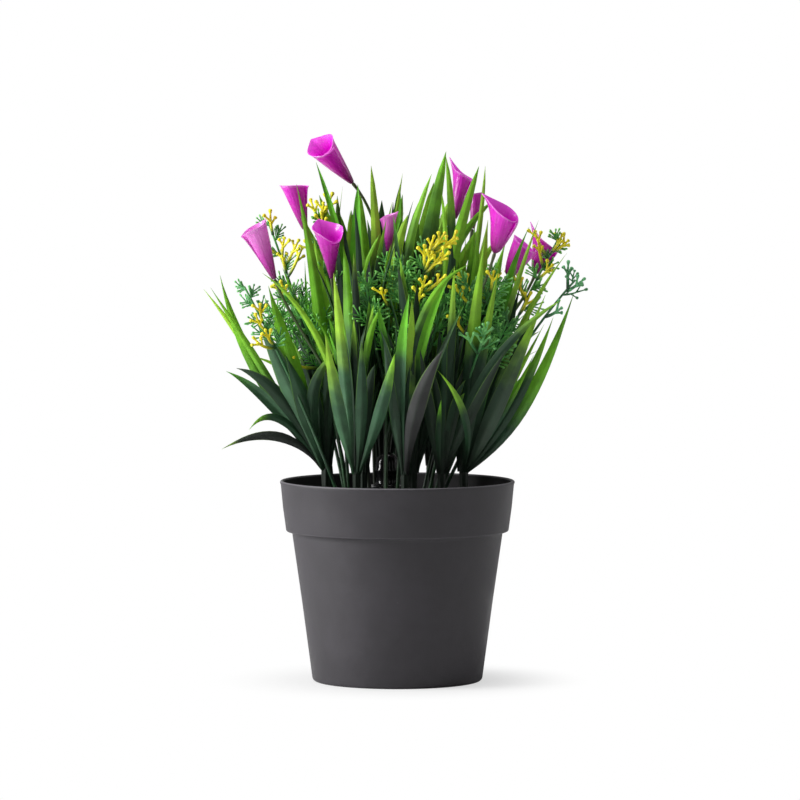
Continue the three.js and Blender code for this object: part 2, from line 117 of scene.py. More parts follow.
tree.links.new(either.outputs[0], tree.nodes["Material Output"].inputs["Surface"])
floor_mesh.materials.append(floor_paint)


def softbox(name, place, width, height, watts):
    """A rectangular light that faces the middle of the plant."""
    data = bpy.data.lights.new(name, "AREA")
    data.shape = "RECTANGLE"
    data.size = width
    data.size_y = height
    data.energy = watts
    light = bpy.data.objects.new(name, data)
    light.location = place
    light.rotation_euler = (Vector((0, 0, 0.1)) - Vector(place)).to_track_quat("-Z", "Y").to_euler()
    bpy.context.scene.collection.objects.link(light)


softbox("key_light", (-1.85, -0.36, 0.75), 1.0, 1.2, 55)
softbox("top_light", (-0.2, 0.0, 2.0), 1.8, 1.6, 22)
softbox("edge_light", (1.5, 0.5, 0.5), 0.6, 0.9, 2.5)

# The camera sees the surround white, gloss mirrors a third of it, and little of it lights the rest.
surround = bpy.data.worlds.new("surround")
bpy.context.scene.world = surround
surround.use_nodes = True
tree = surround.node_tree
tree.nodes.clear()
ray = add_node(tree, "ShaderNodeLightPath").outputs
bright, sheen, dim = [
    add_node(tree, "ShaderNodeBackground", {"Color": (1, 1, 1), "Strength": strength}).outputs[0]
    for strength in (1.0, 0.36, 0.09)]
unseen = add_node(tree, "ShaderNodeMixShader", {0: ray["Is Glossy Ray"], 1: dim, 2: sheen}).outputs[0]
either = add_node(tree, "ShaderNodeMixShader", {0: ray["Is Camera Ray"], 1: unseen, 2: bright})
add_node(tree, "ShaderNodeOutputWorld", {"Surface": either.outputs[0]})


# Pot: one injection-moulded piece in anthracite plastic, 90 mm across its rim, with a tapered
# body and a collar that steps out below a rounded lip. Its underside stands on a narrow foot ring.
def rows_of_grid(count, rings, sides, closed=True):
    """Faces of count like grids of points, each rings long and sides round.
    A quad joins each point to the next round and along. A closed one has a cap on each end ring."""
    step = np.arange(sides if closed else sides - 1)
    turn = (step + 1) % sides
    along = np.arange(rings - 1)[:, None] * sides
    quads = np.stack([along + step, along + turn, along + turn + sides, along + step + sides], -1)
    first = np.arange(count)[:, None, None] * rings * sides
    faces = (first + quads.reshape(-1, 4)).reshape(-1, 4).tolist()
    if closed:
        caps = np.stack([step[::-1], step + (rings - 1) * sides])
        faces += (first + caps).reshape(-1, sides).tolist()
    return faces


def marked(shape, **values):
    """The attributes of a part, each value brought to every point of its grid."""
    return {key: np.broadcast_to(value, shape) for key, value in values.items()}


def join_parts(parts):
    """Several (points, faces, attributes) as one, with the faces renumbered."""
    points = np.concatenate([part[0].reshape(-1, 3) for part in parts])
    starts = np.cumsum([0] + [part[0].size // 3 for part in parts[:-1]])
    faces = [[start + i for i in face] for start, part in zip(starts, parts) for face in part[1]]
    marks = {key: np.concatenate([part[2][key].ravel() for part in parts]) for key in parts[0][2]}
    return points, faces, marks


def add_piece(name, part, paint, crease=40.0):
    """A mesh object at the origin from (points, faces, attributes), smooth up to the crease angle."""
    points, faces, attributes = part
    mesh = bpy.data.meshes.new(name)
    mesh.from_pydata(points.reshape(-1, 3).tolist(), [], faces)
    for key, values in attributes.items():
        layer = mesh.attributes.new(key, "FLOAT", "POINT")
        layer.data.foreach_set("value", np.asarray(values, np.float32).ravel())
    mesh.shade_smooth()
    mesh.set_sharp_from_angle(angle=np.radians(crease))
    mesh.materials.append(paint)
    made = bpy.data.objects.new(name, mesh)
    bpy.context.scene.collection.objects.link(made)
    return made


def lathe(profile, sides, place=(0.0, 0.0)):
    """A turned body: each (radius, height) of the profile goes once round the upright axis.
    The profile runs from the bottom of the axis over the outside to the top of the axis."""
    radius, height = np.array(profile).T
    angle = np.arange(sides) * 2 * np.pi / sides
    x = place[0] + radius[:, None] * np.cos(angle)
    y = place[1] + radius[:, None] * np.sin(angle)
    z = np.broadcast_to(height[:, None], x.shape)
    return np.stack([x, y, z], -1), rows_of_grid(1, len(profile), sides), {}


def arc(centre, radius, start, end, steps):
    """Points of a round corner in a profile, from one angle to another in degrees."""
    angle = np.radians(np.linspace(start, end, steps))
    return list(zip(centre[0] + radius * np.cos(angle), centre[1] + radius * np.sin(angle)))


def new_group(name, inputs, outputs):
    """A shader node group with number sockets, as (the group, what its inputs give inside)."""
    group = bpy.data.node_groups.new(name, "ShaderNodeTree")
    for key, value in inputs.items():
        socket = group.interface.new_socket(key, in_out="INPUT", socket_type="NodeSocketFloat")
        socket.default_value = value
    for key in outputs:
        group.interface.new_socket(key, in_out="OUTPUT", socket_type="NodeSocketFloat")
    return group, add_node(group, "NodeGroupInput").outputs


def placed_group(tree, group, inputs):
    """What a node group gives in a material, with its inputs set."""
    return add_node(tree, "ShaderNodeGroup", inputs, node_tree=group).outputs


def grained(tree, fine, broad):
    """The mould grain's Grain and Cloud at two scales."""
    return placed_group(tree, mould_grain, {"Grain Scale": fine, "Cloud Scale": broad})


def ramp(tree, value, stops):
    """A colour ramp over a value, from (position, linear colour) stops."""
    node = add_node(tree, "ShaderNodeValToRGB", {"Fac": value})
    elements = node.color_ramp.elements
    while len(elements) < len(stops):
        elements.new(0.5)
    for element, (position, colour) in zip(elements, stops):
        element.position = position
        element.color = (*colour, 1.0)
    return node.outputs["Color"]


def mixed(tree, share, first, second, blend="MIX"):
    """A mix of two colours or sockets."""
    return add_node(tree, "ShaderNodeMix", {0: share, 6: first, 7: second},
                    data_type="RGBA", blend_type=blend).outputs[2]


def number(tree, operation, *values):
    """The result of a Math node on numbers or sockets."""
    return add_node(tree, "ShaderNodeMath", dict(enumerate(values)), operation=operation).outputs[0]


def between(tree, value, low, high, to_low=0.0, to_high=1.0):
    """A value mapped smoothly from one range to another, and held at the ends."""
    return add_node(tree, "ShaderNodeMapRange", {
        "Value": value, "From Min": low, "From Max": high, "To Min": to_low, "To Max": to_high},
        interpolation_type="SMOOTHSTEP").outputs["Result"]


def bump(tree, height, depth, strength=1.0):
    """The normal of a bump of a depth in metres."""
    return add_node(tree, "ShaderNodeBump", {
        "Height": height, "Distance": depth, "Strength": strength}).outputs["Normal"]


def read(tree, name):
    """The value of a mesh attribute of the piece."""
    return add_node(tree, "ShaderNodeAttribute", attribute_name=name).outputs["Fac"]


# Mould grain, in every plastic: fine noise, and broad cloudiness over the piece.
mould_grain, given = new_group(
    "mould_grain", {"Grain Scale": 2500.0, "Cloud Scale": 60.0}, ["Grain", "Cloud"])
place = on_piece(mould_grain)
fine = add_node(mould_grain, "ShaderNodeTexNoise", {
    "Vector": place, "Scale": given["Grain Scale"], "Detail": 3.0})
broad = add_node(mould_grain, "ShaderNodeTexNoise", {
    "Vector": place, "Scale": given["Cloud Scale"], "Detail": 4.0, "Roughness": 0.6})
add_node(mould_grain, "NodeGroupOutput", {"Grain": fine.outputs["Fac"], "Cloud": broad.outputs["Fac"]})

pot_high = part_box("pot")[1]
rim_radius = pot_high.x
pot_top = pot_high.z
collar_foot = pot_top - 0.019
collar_foot_radius = 0.0427
body_top_radius = 0.0406
base_radius = 0.0327
base_corner = 0.0016
pot_wall = 0.0014
recess_height = 0.0012
foot_ring_width = 0.006
lip_radius = 0.0007
pot_profile = [(0.0, recess_height), (base_radius - foot_ring_width, recess_height)]
pot_profile += [(base_radius - 0.0052, 0.0002)]
pot_profile += arc((base_radius - 0.0042, 0.0008), 0.0008, 220, 270, 4)
pot_profile += arc((base_radius - base_corner, base_corner), base_corner, 270, 350, 8)
pot_profile += [(base_radius + 0.0038, 0.030), (body_top_radius - 0.0004, collar_foot - 0.0022)]
pot_profile += [(body_top_radius - 0.0003, collar_foot - 0.0012)]
pot_profile += [(body_top_radius + 0.0001, collar_foot - 0.0006)]
pot_profile += [(body_top_radius + 0.0012, collar_foot - 0.0004)]
collar_edge = len(pot_profile) + 3
pot_profile += arc((collar_foot_radius - 0.0006, collar_foot + 0.0002), 0.0006, 270, 360, 5)
pot_profile += [(collar_foot_radius + 0.0012, collar_foot + 0.009)]
pot_profile += [(rim_radius - 0.0003, pot_top - 0.0016)]
lip_start = len(pot_profile)
pot_profile += arc((rim_radius - lip_radius, pot_top - lip_radius), lip_radius, 0, 180, 11)
pot_profile += [(collar_foot_radius - pot_wall, collar_foot + 0.0007)]
pot_profile += [(body_top_radius - pot_wall, collar_foot - 0.0014)]
pot_profile += [(base_radius - pot_wall, 0.0032), (base_radius - 0.003, 0.0018), (0.0, 0.0018)]

# The top of the lip and, less, the foot of the collar are painted lighter, as a painted highlight.
# The inner wall, from the end of the lip on, is dull and painted near black, as painted shade.
pot_sides = 144
lip_highlight_from = lip_start + 2
lip_highlight_to = lip_start + 6
inner_from = lip_start + 10
row = np.arange(len(pot_profile))[:, None]
on_lip = (row >= lip_highlight_from) & (row <= lip_highlight_to)
pot_points, pot_faces = lathe(pot_profile, pot_sides)[:2]
pot_marks = marked((len(row), pot_sides), edge=on_lip + 0.4 * (row == collar_edge),
                   inner=1.0 * (row >= inner_from))

pot_paint, tree, shader = new_material("pot_plastic")
grain = grained(tree, 1600.0, 45.0)
cells = add_node(tree, "ShaderNodeTexVoronoi", {"Vector": on_piece(tree), "Scale": 260.0}, feature="F1")
speck = between(tree, cells.outputs["Distance"], 0.10, 0.045)
scuff = number(tree, "MULTIPLY", speck, between(tree, grain["Cloud"], 0.58, 0.72))
plain = mixed(tree, between(tree, grain["Cloud"], 0.35, 0.7), (0.0325, 0.0298, 0.0345),
              (0.0435, 0.0400, 0.0465))
scuffed_and_highlit = mixed(tree, scuff, plain, (0.10, 0.098, 0.107))
# Painted highlight: the top of the lip and, less, the foot of the collar are lightened.
scuffed_and_highlit = mixed(tree, number(tree, "MULTIPLY", read(tree, "edge"), 0.7), scuffed_and_highlit, (0.17, 0.162, 0.178))
satin = between(tree, grain["Cloud"], 0.3, 0.7, 0.46, 0.6)
dull = number(tree, "MULTIPLY", read(tree, "inner"), 0.4)
# The inner wall's near-black colour is painted shade.
set_inputs(tree, shader, {
    "Base Color": mixed(tree, read(tree, "inner"), scuffed_and_highlit, (0.007, 0.0065, 0.007)),
    "Roughness": number(tree, "ADD", satin, dull),
    "Normal": bump(tree, grain["Grain"], 0.00004),
    "Specular IOR Level": 0.4})

pot = add_piece("pot_shell", (pot_points, pot_faces, pot_marks), pot_paint)
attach(pot, "root")
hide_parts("pot")


# Filler: a rough, nearly black casting that closes the pot below its rim and grips everything
# that stands in it. It was poured in, so its top is uneven and creeps up a little at the wall.
filler_top = 0.0622
filler_radius = 0.0415
filler_creep = 0.0012
filler_gap = 0.0004
filler_sides = 96

# The top is a grid of rings. Three crossed waves from 2.5 to 8 mm long raise and lower it, and the
# creep grows as the eighth power of the share of the radius.
filler_rings = (np.linspace(0.0, 1.0, 40) ** 0.8 * filler_radius)[::-1, None]
filler_angle = np.arange(filler_sides) * 2 * np.pi / filler_sides
x = filler_rings * np.cos(filler_angle)
y = filler_rings * np.sin(filler_angle)
lumps = (np.sin(900 * x + 2) * np.sin(760 * y + 1) + 0.6 * np.sin(1500 * x - 1300 * y)
         + 0.5 * np.sin(2300 * y + 900 * x + 4))
creep = filler_creep * (filler_rings / filler_radius) ** 8
z = filler_top - filler_creep + 0.0004 * lumps + creep
filler_wall = [(0.0, 0.0021), (base_radius - 0.0033, 0.0021)]
filler_wall += [(base_radius - pot_wall - filler_gap, 0.0036)]
filler_wall += [(body_top_radius - pot_wall - filler_gap, collar_foot - 0.0014)]
filler_wall += [(collar_foot_radius - pot_wall - 0.0006, collar_foot + 0.0012)]
filler_points = np.concatenate([lathe(filler_wall, filler_sides)[0], np.stack([x, y, z], -1)])
filler_faces = rows_of_grid(1, len(filler_points), filler_sides)

filler_paint, tree, shader = new_material("filler_cast")
grain = grained(tree, 900.0, 220.0)
set_inputs(tree, shader, {
    "Base Color": mixed(tree, between(tree, grain["Cloud"], 0.35, 0.65), (0.006, 0.0055, 0.005),
                        (0.022, 0.019, 0.016)),
    "Roughness": between(tree, grain["Grain"], 0.3, 0.7, 0.75, 0.98),
    "Normal": bump(tree, grain["Cloud"], 0.0012)})

filler = add_piece("filler_cast", (filler_points, filler_faces, {}), filler_paint)
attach(filler, "root")
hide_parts("planting_filler")


# Stem hub: a black moulded socket with a domed post, glossy from the mould. Its spigot stands in
# the filler, and the flower stems are stuck into its shoulder.
hub_place = (-0.004, -0.002)
hub_post = 0.0043
hub_profile = [(0.0, 0.0543), (0.0056, 0.0543)]
hub_profile += [(0.006, 0.055), (0.006, 0.0623), (0.0101, 0.0624), (0.0105, 0.0629)]
hub_profile += arc((0.0093, 0.0738), 0.0012, 0, 90, 7)
hub_profile += arc((0.0063, 0.0770), 0.0020, 270, 180, 7)
hub_profile += [(hub_post, 0.0800), (0.0046, 0.0806), (0.0046, 0.0816), (hub_post, 0.0822)]
hub_profile += [(hub_post * np.cos(a), 0.0838 + 0.0042 * np.sin(a)) for a in np.linspace(0, 1.5, 9)]
hub_profile += [(0.0, 0.088)]

hub_paint, tree, shader = new_material("hub_plastic")
cloud = grained(tree, 1200.0, 150.0)["Cloud"]
set_inputs(tree, shader, {
    "Base Color": mixed(tree, cloud, (0.004, 0.004, 0.0045), (0.010, 0.010, 0.011)),
    "Roughness": between(tree, cloud, 0.3, 0.7, 0.10, 0.24),
    "Normal": bump(tree, cloud, 0.0001)})

hub = add_piece("stem_socket", lathe(hub_profile, 64, hub_place), hub_paint)
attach(hub, "root")
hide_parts("stem_hub")


# Grass tufts: each is moulded in one shot, a peg in the filler and a spray of folded blades, dark
# green to grey at the foot. The upper ends are airbrushed lime, and the mould leaves fine ribs.
MM = 0.001
tuft_ring = 27.0
crown_height = 84.0
blade_root = 81.0
root_ring = 1.5
blade_rings = 17
widest_at = 0.48
foot_share = 0.28
fold_depth = 0.62
midrib_level = 0.55
most_twist = 14.0


def unit(vectors):
    """Each vector divided by its length."""
    return vectors / np.linalg.norm(vectors, axis=-1, keepdims=True)


def facing(degrees):
    """A level unit vector for each angle: the front at 0, +X at 90."""
    angle = np.radians(degrees)
    return np.stack([np.sin(angle), -np.cos(angle), np.zeros_like(angle)], -1)


def polar(centre, distance, degrees):
    """Points in plan at a distance and an azimuth from a centre."""
    angle = np.radians(degrees)
    return np.stack([centre[0] + distance * np.cos(angle), centre[1] + distance * np.sin(angle)], -1)


def bow(root, middle, tip, t):
    """Points and unit tangents of the parabola that starts at each root, passes the middle halfway
    and ends at the tip, for every t from 0 to 1. The last axis but one runs along the curve."""
    control = 2 * middle - 0.5 * root - 0.5 * tip
    root, control, tip = root[:, None], control[:, None], tip[:, None]
    t = np.asarray(t)[:, None]
    points = (1 - t) ** 2 * root + 2 * t * (1 - t) * control + t ** 2 * tip
    tangents = 2 * (1 - t) * (control - root) + 2 * t * (tip - control)
    return points, unit(tangents)


def blades(crown, rows, taper):
    """Closed folded strips along parabolas, one for each row of tip, middle, width, face, lime, light
    and grey. The half width grows from a narrow root to the widest place and shrinks to the tip as
    one less the square of the share beyond it, to the power taper. The face turns a little along
    the blade. The halves fold back about the midrib, which stands forward on four blades of five
    and back on the fifth, and the fold opens to under a half at the tip."""
    rows = np.asarray(rows, float)
    tip, middle = rows[:, 0:3], rows[:, 3:6]
    lean = unit(middle[:, :2] - crown) * root_ring
    root = np.column_stack([crown + lean, np.full(len(rows), blade_root)])
    t = np.linspace(0, 1, blade_rings) ** 0.92
    centre, along = bow(root, middle, tip, t)
    tone = (rows[:, 0] * 0.37 + rows[:, 5] * 0.71) % 1
    twist = most_twist * np.sin(rows[:, 0] * 1.7 + rows[:, 5])[:, None] * t
    across = unit(np.cross(along, facing(rows[:, 7:8] + twist)))
    front = np.cross(across, along)

    rise = np.clip(t / widest_at, 0, 1)
    widen = foot_share + (1 - foot_share) * rise * rise * (3 - 2 * rise)
    beyond = np.clip(t - widest_at, 0, 1) / (1 - widest_at)
    half = 0.5 * rows[:, 6:7] * np.maximum(widen * (1 - beyond ** 2) ** taper, 0.015)
    half = half[..., None]
    front_side = [-1.0, -0.62, -0.22, 0.0, 0.22, 0.62, 1.0]
    back_side = [1.0, 0.5, 0.0, -0.5, -1.0]
    s = np.array(front_side + back_side)
    is_back = np.repeat([0.0, 1.0], [len(front_side), len(back_side)])
    way = np.where(tone < 0.2, 1.0, -1.0)[:, None, None]
    fold = way * (fold_depth * (1 - 0.55 * t))[None, :, None]
    thick = 0.10 + 0.20 * (1 - np.abs(s)) + 0.10 * (np.abs(s) < 0.1)
    out = half * fold * (np.abs(s) ** 1.2 - midrib_level) - is_back * thick * np.clip(half, 0.12, 1)
    points = (centre[:, :, None] + (half * s)[..., None] * across[:, :, None]
              + out[..., None] * front[:, :, None])
    lime, light, grey = rows[:, 8:].T[..., None, None]
    marks = marked(points.shape[:3], along=t[None, :, None], across=s, tone=tone[:, None, None],
                   lime=lime, light=light, grey=grey)
    return points * MM, rows_of_grid(len(rows), blade_rings, len(s)), marks


def stalk(crown, radius):
    """A ribbed peg with a blunt crown that the blades leave: the share of the radius is a profile up
    the axis times one plus 0.08 of the cosine of seven times the angle."""
    share, height = np.array([(0.15, 52.3), (0.85, 52.3), (1.0, 53.0), (1.0, 66.0), (0.9, 74.0),
                              (1.0, 80.0), (0.9, 82.4), (0.6, 84.2), (0.15, 84.8)]).T[..., None]
    angle = np.arange(42) * 2 * np.pi / 42
    out = radius * share * (1 + 0.08 * np.cos(7 * angle))
    plan = crown[:, None, None] + out * np.stack([np.cos(angle), np.sin(angle)])[:, None]
    points = np.stack([*plan, np.broadcast_to(height, out.shape)], -1) * MM
    marks = marked(out.shape, along=0.0, across=0.5, tone=0.5, lime=1.5, light=0.0, grey=0.0)
    return points, rows_of_grid(1, len(share), len(angle)), marks


# A row is the tip, the point halfway, the width and the angle that the broad side faces, then
# where the lime starts along the blade, how light the satin foot is, and how grey.
tufts = {}
tufts["left"] = (polar((0, 0), tuft_ring, 180), [
    [-67, -9, 89.5, -45.5, -5, 94, 3.8, 10, 0.97, 0.04, 0.8],
    [-65.5, -3, 119, -48, -2, 106, 4.2, -10, 0.85, 0.75, 0.1],
    [-61.5, -6, 120.3, -44.5, -9, 109, 5.4, 0, 1.2, 0.05, 0.1],
    [-68, 4, 155.5, -54, 3, 119, 4.4, 15, 0.5, 0.35, 0],
    [-74.5, 9, 150, -53, 6, 120.5, 3.2, -15, 0.55, 0.5, 0],
    [-71.5, -2, 151, -51.5, -1, 119.5, 3, 5, 0.5, 0.5, 0],
    [-54, -15, 141, -38.5, -10, 108, 9, -12, 1.2, 0.8, 0.2],
    [-42.5, -18, 126, -34.5, -12, 104.5, 7.4, 20, 1.2, 0.65, 0.2],
    [-57.5, 11, 123.5, -45, 8, 105.5, 3, 0, 0.65, 0.4, 0],
    [-56.5, -11, 97, -44, -8, 100.5, 3.2, 30, 0.8, 0.3, 0],
    [-49, -14, 152, -39, -11, 117.5, 7.2, 0, 0.4, 0.3, 0],
    [-22.5, -20, 128, -32.5, -14, 108.5, 5, -15, 0.8, 0.12, 0],
    [-38.5, -4, 190.5, -29, -4, 134.5, 5.2, 10, 0.35, 0.4, 0],
    [-32, -1, 170.5, -27.5, -2, 131.5, 6.4, -20, 0.45, 0.35, 0],
    [-35.5, 5, 161, -33, 4, 120, 2.8, 0, 0.5, 0.3, 0],
    [-44, 6, 158, -33, 4, 122, 5.6, 0, 0.8, 0.1, 0],
    [-38, 8, 152, -30, 6, 119, 6.2, 10, 1.1, 0.1, 0],
    [-51, 6, 147, -37, 5, 115, 5, -10, 0.9, 0.1, 0],
    [-33, 10, 164, -27, 7, 124, 6, 0, 1.0, 0.1, 0],
    [-21, 6, 189.5, -26, 5, 133, 1.8, 0, 0.6, 0.5, 0.3],
])
tufts["front_left"] = (polar((0, 0), tuft_ring, 235), [
    [-27, -40, 135, -22, -31, 105.5, 5, 0, 0.72, 0.8, 0],
    [-33.5, -18, 144.5, -20, -18, 115, 2, 10, 0.3, 0.5, 0],
    [-20.5, -14, 167, -17, -19, 128, 6.2, 0, 0.6, 0.6, 0],
    [-24, -31, 157.5, -20, -27, 119.5, 5, -15, 0.62, 0.75, 0],
    [-51, -30, 157.5, -28.5, -26, 129, 2.4, 10, 0.3, 0.4, 0],
    [-6.5, -18, 148, -14, -21, 123.5, 2.4, 0, 1.1, 0.85, 0.4],
    [-6, -34, 144.5, -12.5, -27, 122, 3.2, 20, 0.6, 0.45, 0.1],
    [-13.5, -38, 132, -13.5, -31, 106.5, 4.6, 0, 0.95, 0.55, 0.2],
    [-1, -43, 127.5, -6.5, -35, 105.5, 5.0, -15, 0.78, 0.45, 0],
])
tufts["front"] = (polar((0, 0), tuft_ring, 276), [
    [-5, -40, 131.5, -1.5, -34, 107.5, 3.8, -10, 1.2, 0.4, 0.4],
    [-7.5, -37, 146, -3, -30, 119.5, 3.8, 10, 0.72, 0.4, 0],
    [4.5, -46, 150, 1, -36, 117.5, 5, -20, 0.68, 0.5, 0.2],
    [5.5, -43, 148, 5, -35, 118, 4.6, 20, 0.55, 0.3, 0],
    [21, -38, 159.5, 8, -31, 124.5, 3.8, 0, 0.5, 0.3, 0],
    [17, -51, 129.5, 7.5, -40, 107.5, 6.4, 0, 1.3, 0.45, 1.0],
    [27.5, -37, 161, 7.5, -38, 135.5, 3, 0, 0.6, 0.1, 0],
    [25.5, -46, 147, 11, -36, 113.5, 2.4, 0, 0.9, 0.3, 0.5],
])
tufts["front_right"] = (polar((0, 0), tuft_ring, 308), [
    [8.5, -40, 129, 12.5, -30, 103.5, 4.4, 0, 1.2, 0.05, 0.3],
    [16.5, -38, 110, 15.5, -29, 96, 2.2, 10, 0.85, 0.1, 0],
    [61.5, -38, 147.5, 34.5, -29, 121, 3.6, 0, 0.85, 0.2, 0],
    [21.5, -28, 160, 19.5, -25, 119.5, 4, -15, 0.8, 0.05, 0],
    [40.5, -45, 129, 29, -34, 106.5, 3.8, 10, 1.1, 0.0, 0.3],
])
tufts["right"] = (polar((0, 0), tuft_ring, 338), [
    [56, -24, 149, 38, -19, 107, 6.4, -5, 0.78, 0.9, 0.65],
    [67.5, -3, 149, 48.5, -5, 106, 5, 5, 0.5, 0.5, 0.2],
    [59.5, -7, 140, 45, -7, 107.5, 4.2, -10, 0.7, 0.45, 0.3],
    [56, -11, 137.5, 42, -10, 111, 2.2, 0, 0.55, 0.4, 0],
    [49.5, -12, 119.5, 38.5, -11, 104, 2.8, 0, 0.6, 0.35, 0.2],
    [45.5, -15, 160, 35.5, -13, 120, 4, 20, 0.6, 0.1, 0],
    [31.5, -13, 179, 28, -11, 132, 4.4, 0, 0.5, 0.15, 0],
    [26, -6, 170.5, 25, -8, 127, 4.2, 15, 0.55, 0.15, 0],
    [52, -8, 125.5, 41, -8, 104.5, 2.4, 0, 0.6, 0.5, 0],
    [15, -46, 121.5, 25.5, -38, 103, 2.8, 0, 0.7, 0.2, 0],
    [47, -4, 152, 36, -6, 112, 6.6, 0, 1.2, 0.05, 0],
    [40, 0, 148, 33, -4, 110, 6.8, 10, 1.2, 0.05, 0],
    [52, -2, 146, 39, -4, 108, 6, -10, 1.1, 0.1, 0],
    [36, -13, 150, 31, -12, 112, 6.6, 0, 1.3, 0.05, 0],
    [44, -12, 141, 35, -11, 107, 5.8, 10, 1.2, 0.1, 0],
    [34.5, -10, 177, 30, -10, 135.5, 6.4, 0, 0.55, 0.3, 0],
    [29.5, -8, 175, 27, -8, 133, 6.4, 10, 0.75, 0.2, 0],
    [50, -16, 174.5, 37, -14, 136, 3.6, 0, 0.6, 0.3, 0],
    [64.5, -12, 164.5, 43, -12, 128, 2.6, 0, 0.5, 0.3, 0],
    [53.5, -18, 177, 41, -16, 138, 2.4, 0, 0.6, 0.3, 0],
    [41, -18, 168.5, 33, -16, 134, 5.4, -10, 0.7, 0.2, 0],
    [22, -6, 176, 22, -8, 133, 6.6, 0, 0.8, 0.1, 0],
    [33, -29, 170, 28, -22.5, 126, 5.2, 0, 0.6, 0.3, 0],
    [38.5, -28, 160, 31, -22, 119, 4.4, 10, 0.68, 0.2, 0],
])
tufts["centre_left"] = ((-13.0, -12.0), [
    [-31, -7, 199, -14.5, -10, 134.5, 3.8, 0, 0.6, 0.35, 0],
    [-10, -4, 197.5, -7.5, -9, 137.5, 5, 0, 0.75, 0.15, 0],
    [-15, -12, 190.5, -16, -14, 136, 5.5, 0, 0.55, 0.45, 0],
    [2, 0, 194.5, -6.5, -4, 135.5, 2.2, 0, 0.7, 0.3, 0],
    [-17, -9, 172.5, -15, -12, 128, 4.4, 30, 0.7, 0.2, 0],
    [-20, -12, 153, -16, -14, 115, 4.4, -20, 0.9, 0.3, 0],
    [-6.5, -22, 172, -17, -18, 135, 2.4, 0, 0.4, 0.6, 0],
    [-23, 2, 186, -20, -2, 138.5, 4.2, 0, 1.0, 0.1, 0],
    [-18, 4, 180, -17.5, -2, 134.5, 4.6, 10, 0.8, 0.15, 0],
])
tufts["centre_right"] = ((6.0, -16.0), [
    [18.5, -12, 203, 8.5, -14, 141.5, 7.2, 0, 0.82, 0.12, 0],
    [13, -14, 194.5, 0, -16, 139, 4.4, -10, 0.78, 0.12, 0],
    [18.5, -6, 201, 19.5, -17, 147.5, 4, 10, 0.8, 0.25, 0],
    [16.5, -12, 189, 17.5, -17, 140, 2.6, 0, 0.45, 0.3, 0],
    [4, -14, 179, -2, -17, 140, 5.4, -10, 0.45, 0.6, 0],
    [31, -14, 197.5, 17, -15, 143.5, 5.2, 0, 0.42, 0.3, 0],
    [33.5, -6, 197.5, 25.5, -5, 141.5, 2.6, 0, 0.75, 0.2, 0],
    [37, 0, 184.5, 14.5, -5, 146, 4, 10, 0.6, 0.5, 0],
])
tufts["centre_back"] = ((-6.0, 14.0), [
    [-37, 6, 178, -20, 9, 134, 5.6, 0, 0.55, 0.4, 0],
    [-30, 10, 186, -17, 12, 138, 6.2, 15, 0.8, 0.2, 0],
    [-23, 4, 181, -14, 9, 134, 6.6, -10, 0.9, 0.1, 0],
    [-15, 12, 189, -11, 13, 138, 5.8, 0, 0.6, 0.3, 0],
    [-6, 16, 184, -6.5, 15, 136, 6.4, 10, 1.1, 0.1, 0],
    [1, 10, 190, -3, 12, 139, 5.6, -15, 0.7, 0.3, 0],
    [8, 12, 183, 0.5, 13, 136, 6.6, 0, 0.9, 0.1, 0],
    [14, 8, 191, 4, 11, 140, 6.2, 10, 0.75, 0.2, 0],
    [21, 12, 186, 7, 13, 138, 6.8, -10, 0.6, 0.2, 0],
    [27, 6, 180, 10, 10, 135, 6.6, 0, 0.8, 0.1, 0],
    [32, 12, 174, 12, 13, 132, 6.2, 15, 0.6, 0.3, 0],
    [38, 8, 169, 15, 11, 129, 5.8, 0, 0.7, 0.2, 0],
    [2, 28, 186, -3, 22, 136, 5.6, 0, 0.55, 0.4, 0],
    [-18, 30, 180, -11, 23, 132, 5.2, 20, 0.6, 0.5, 0],
    [18, 28, 177, 6, 22, 130, 5.2, -20, 0.6, 0.4, 0],
])


def rosette(crown, azimuth, count, reach, top):
    """Rows of blades fanned about an azimuth, the outer ones lower and longer. The fan, the width,
    the face and the finish step on by a fixed share of their range from blade to blade."""
    i = np.arange(count)
    share = (i + 0.5) / count
    fan = 26 * ((i * 0.618) % 1 - 0.5)
    out = reach * (0.15 + 0.85 * share)
    rise = (top - crown_height) * (1 - 0.55 * share ** 1.6)
    tip = polar(crown, out, azimuth + fan)
    middle = polar(crown, 0.38 * out, azimuth + 0.6 * fan)
    width = 3.4 + 2.8 * ((i * 0.382) % 1)
    face = azimuth + 90 + 50 * ((i * 0.272) % 1 - 0.5)
    lime = 0.5 + 0.4 * ((i * 0.531) % 1)
    light = 0.1 + 0.6 * ((i * 0.345) % 1)
    return np.column_stack([tip, crown_height + rise, middle, crown_height + 0.62 * rise,
                            width, face, lime, light, 0 * light])


# The tufts behind, of nine blades each: the azimuths of the crown and of the fan, the reach, the top.
for name, place, azimuth, reach, top in [
    ("back_right", 18, 18, 35, 168),
    ("right_rear", 62, 62, 40, 172),
    ("back", 105, 105, 40, 170),
    ("left_rear", 126, 163, 44, 164),
]:
    crown = polar((0, 0), tuft_ring, place)
    tufts[name] = (crown, rosette(crown, azimuth, 9, reach, top))


def undergrowth(crown, seed, count, reach, top):
    """Rows of short dark blades that stand close round a tuft's crown, most of them upright."""
    draw = np.random.default_rng(seed)
    azimuth = np.arange(count) * 137.5 + draw.uniform(-20, 20, count)
    out = reach * draw.uniform(0.25, 1.0, count)
    rise = (top - crown_height) * draw.uniform(0.45, 1.0, count)
    tip = polar(crown, out, azimuth)
    middle = polar(crown, 0.36 * out + 1.0, azimuth + draw.uniform(-12, 12, count))
    face = azimuth + 90 + draw.uniform(-40, 40, count)
    return np.column_stack([tip, crown_height + rise, middle, crown_height + 0.58 * rise,
                            draw.uniform(3.0, 5.2, count), face,
                            draw.uniform(0.75, 1.6, count), draw.uniform(0.0, 0.25, count),
                            draw.uniform(0, 0.3, count)])


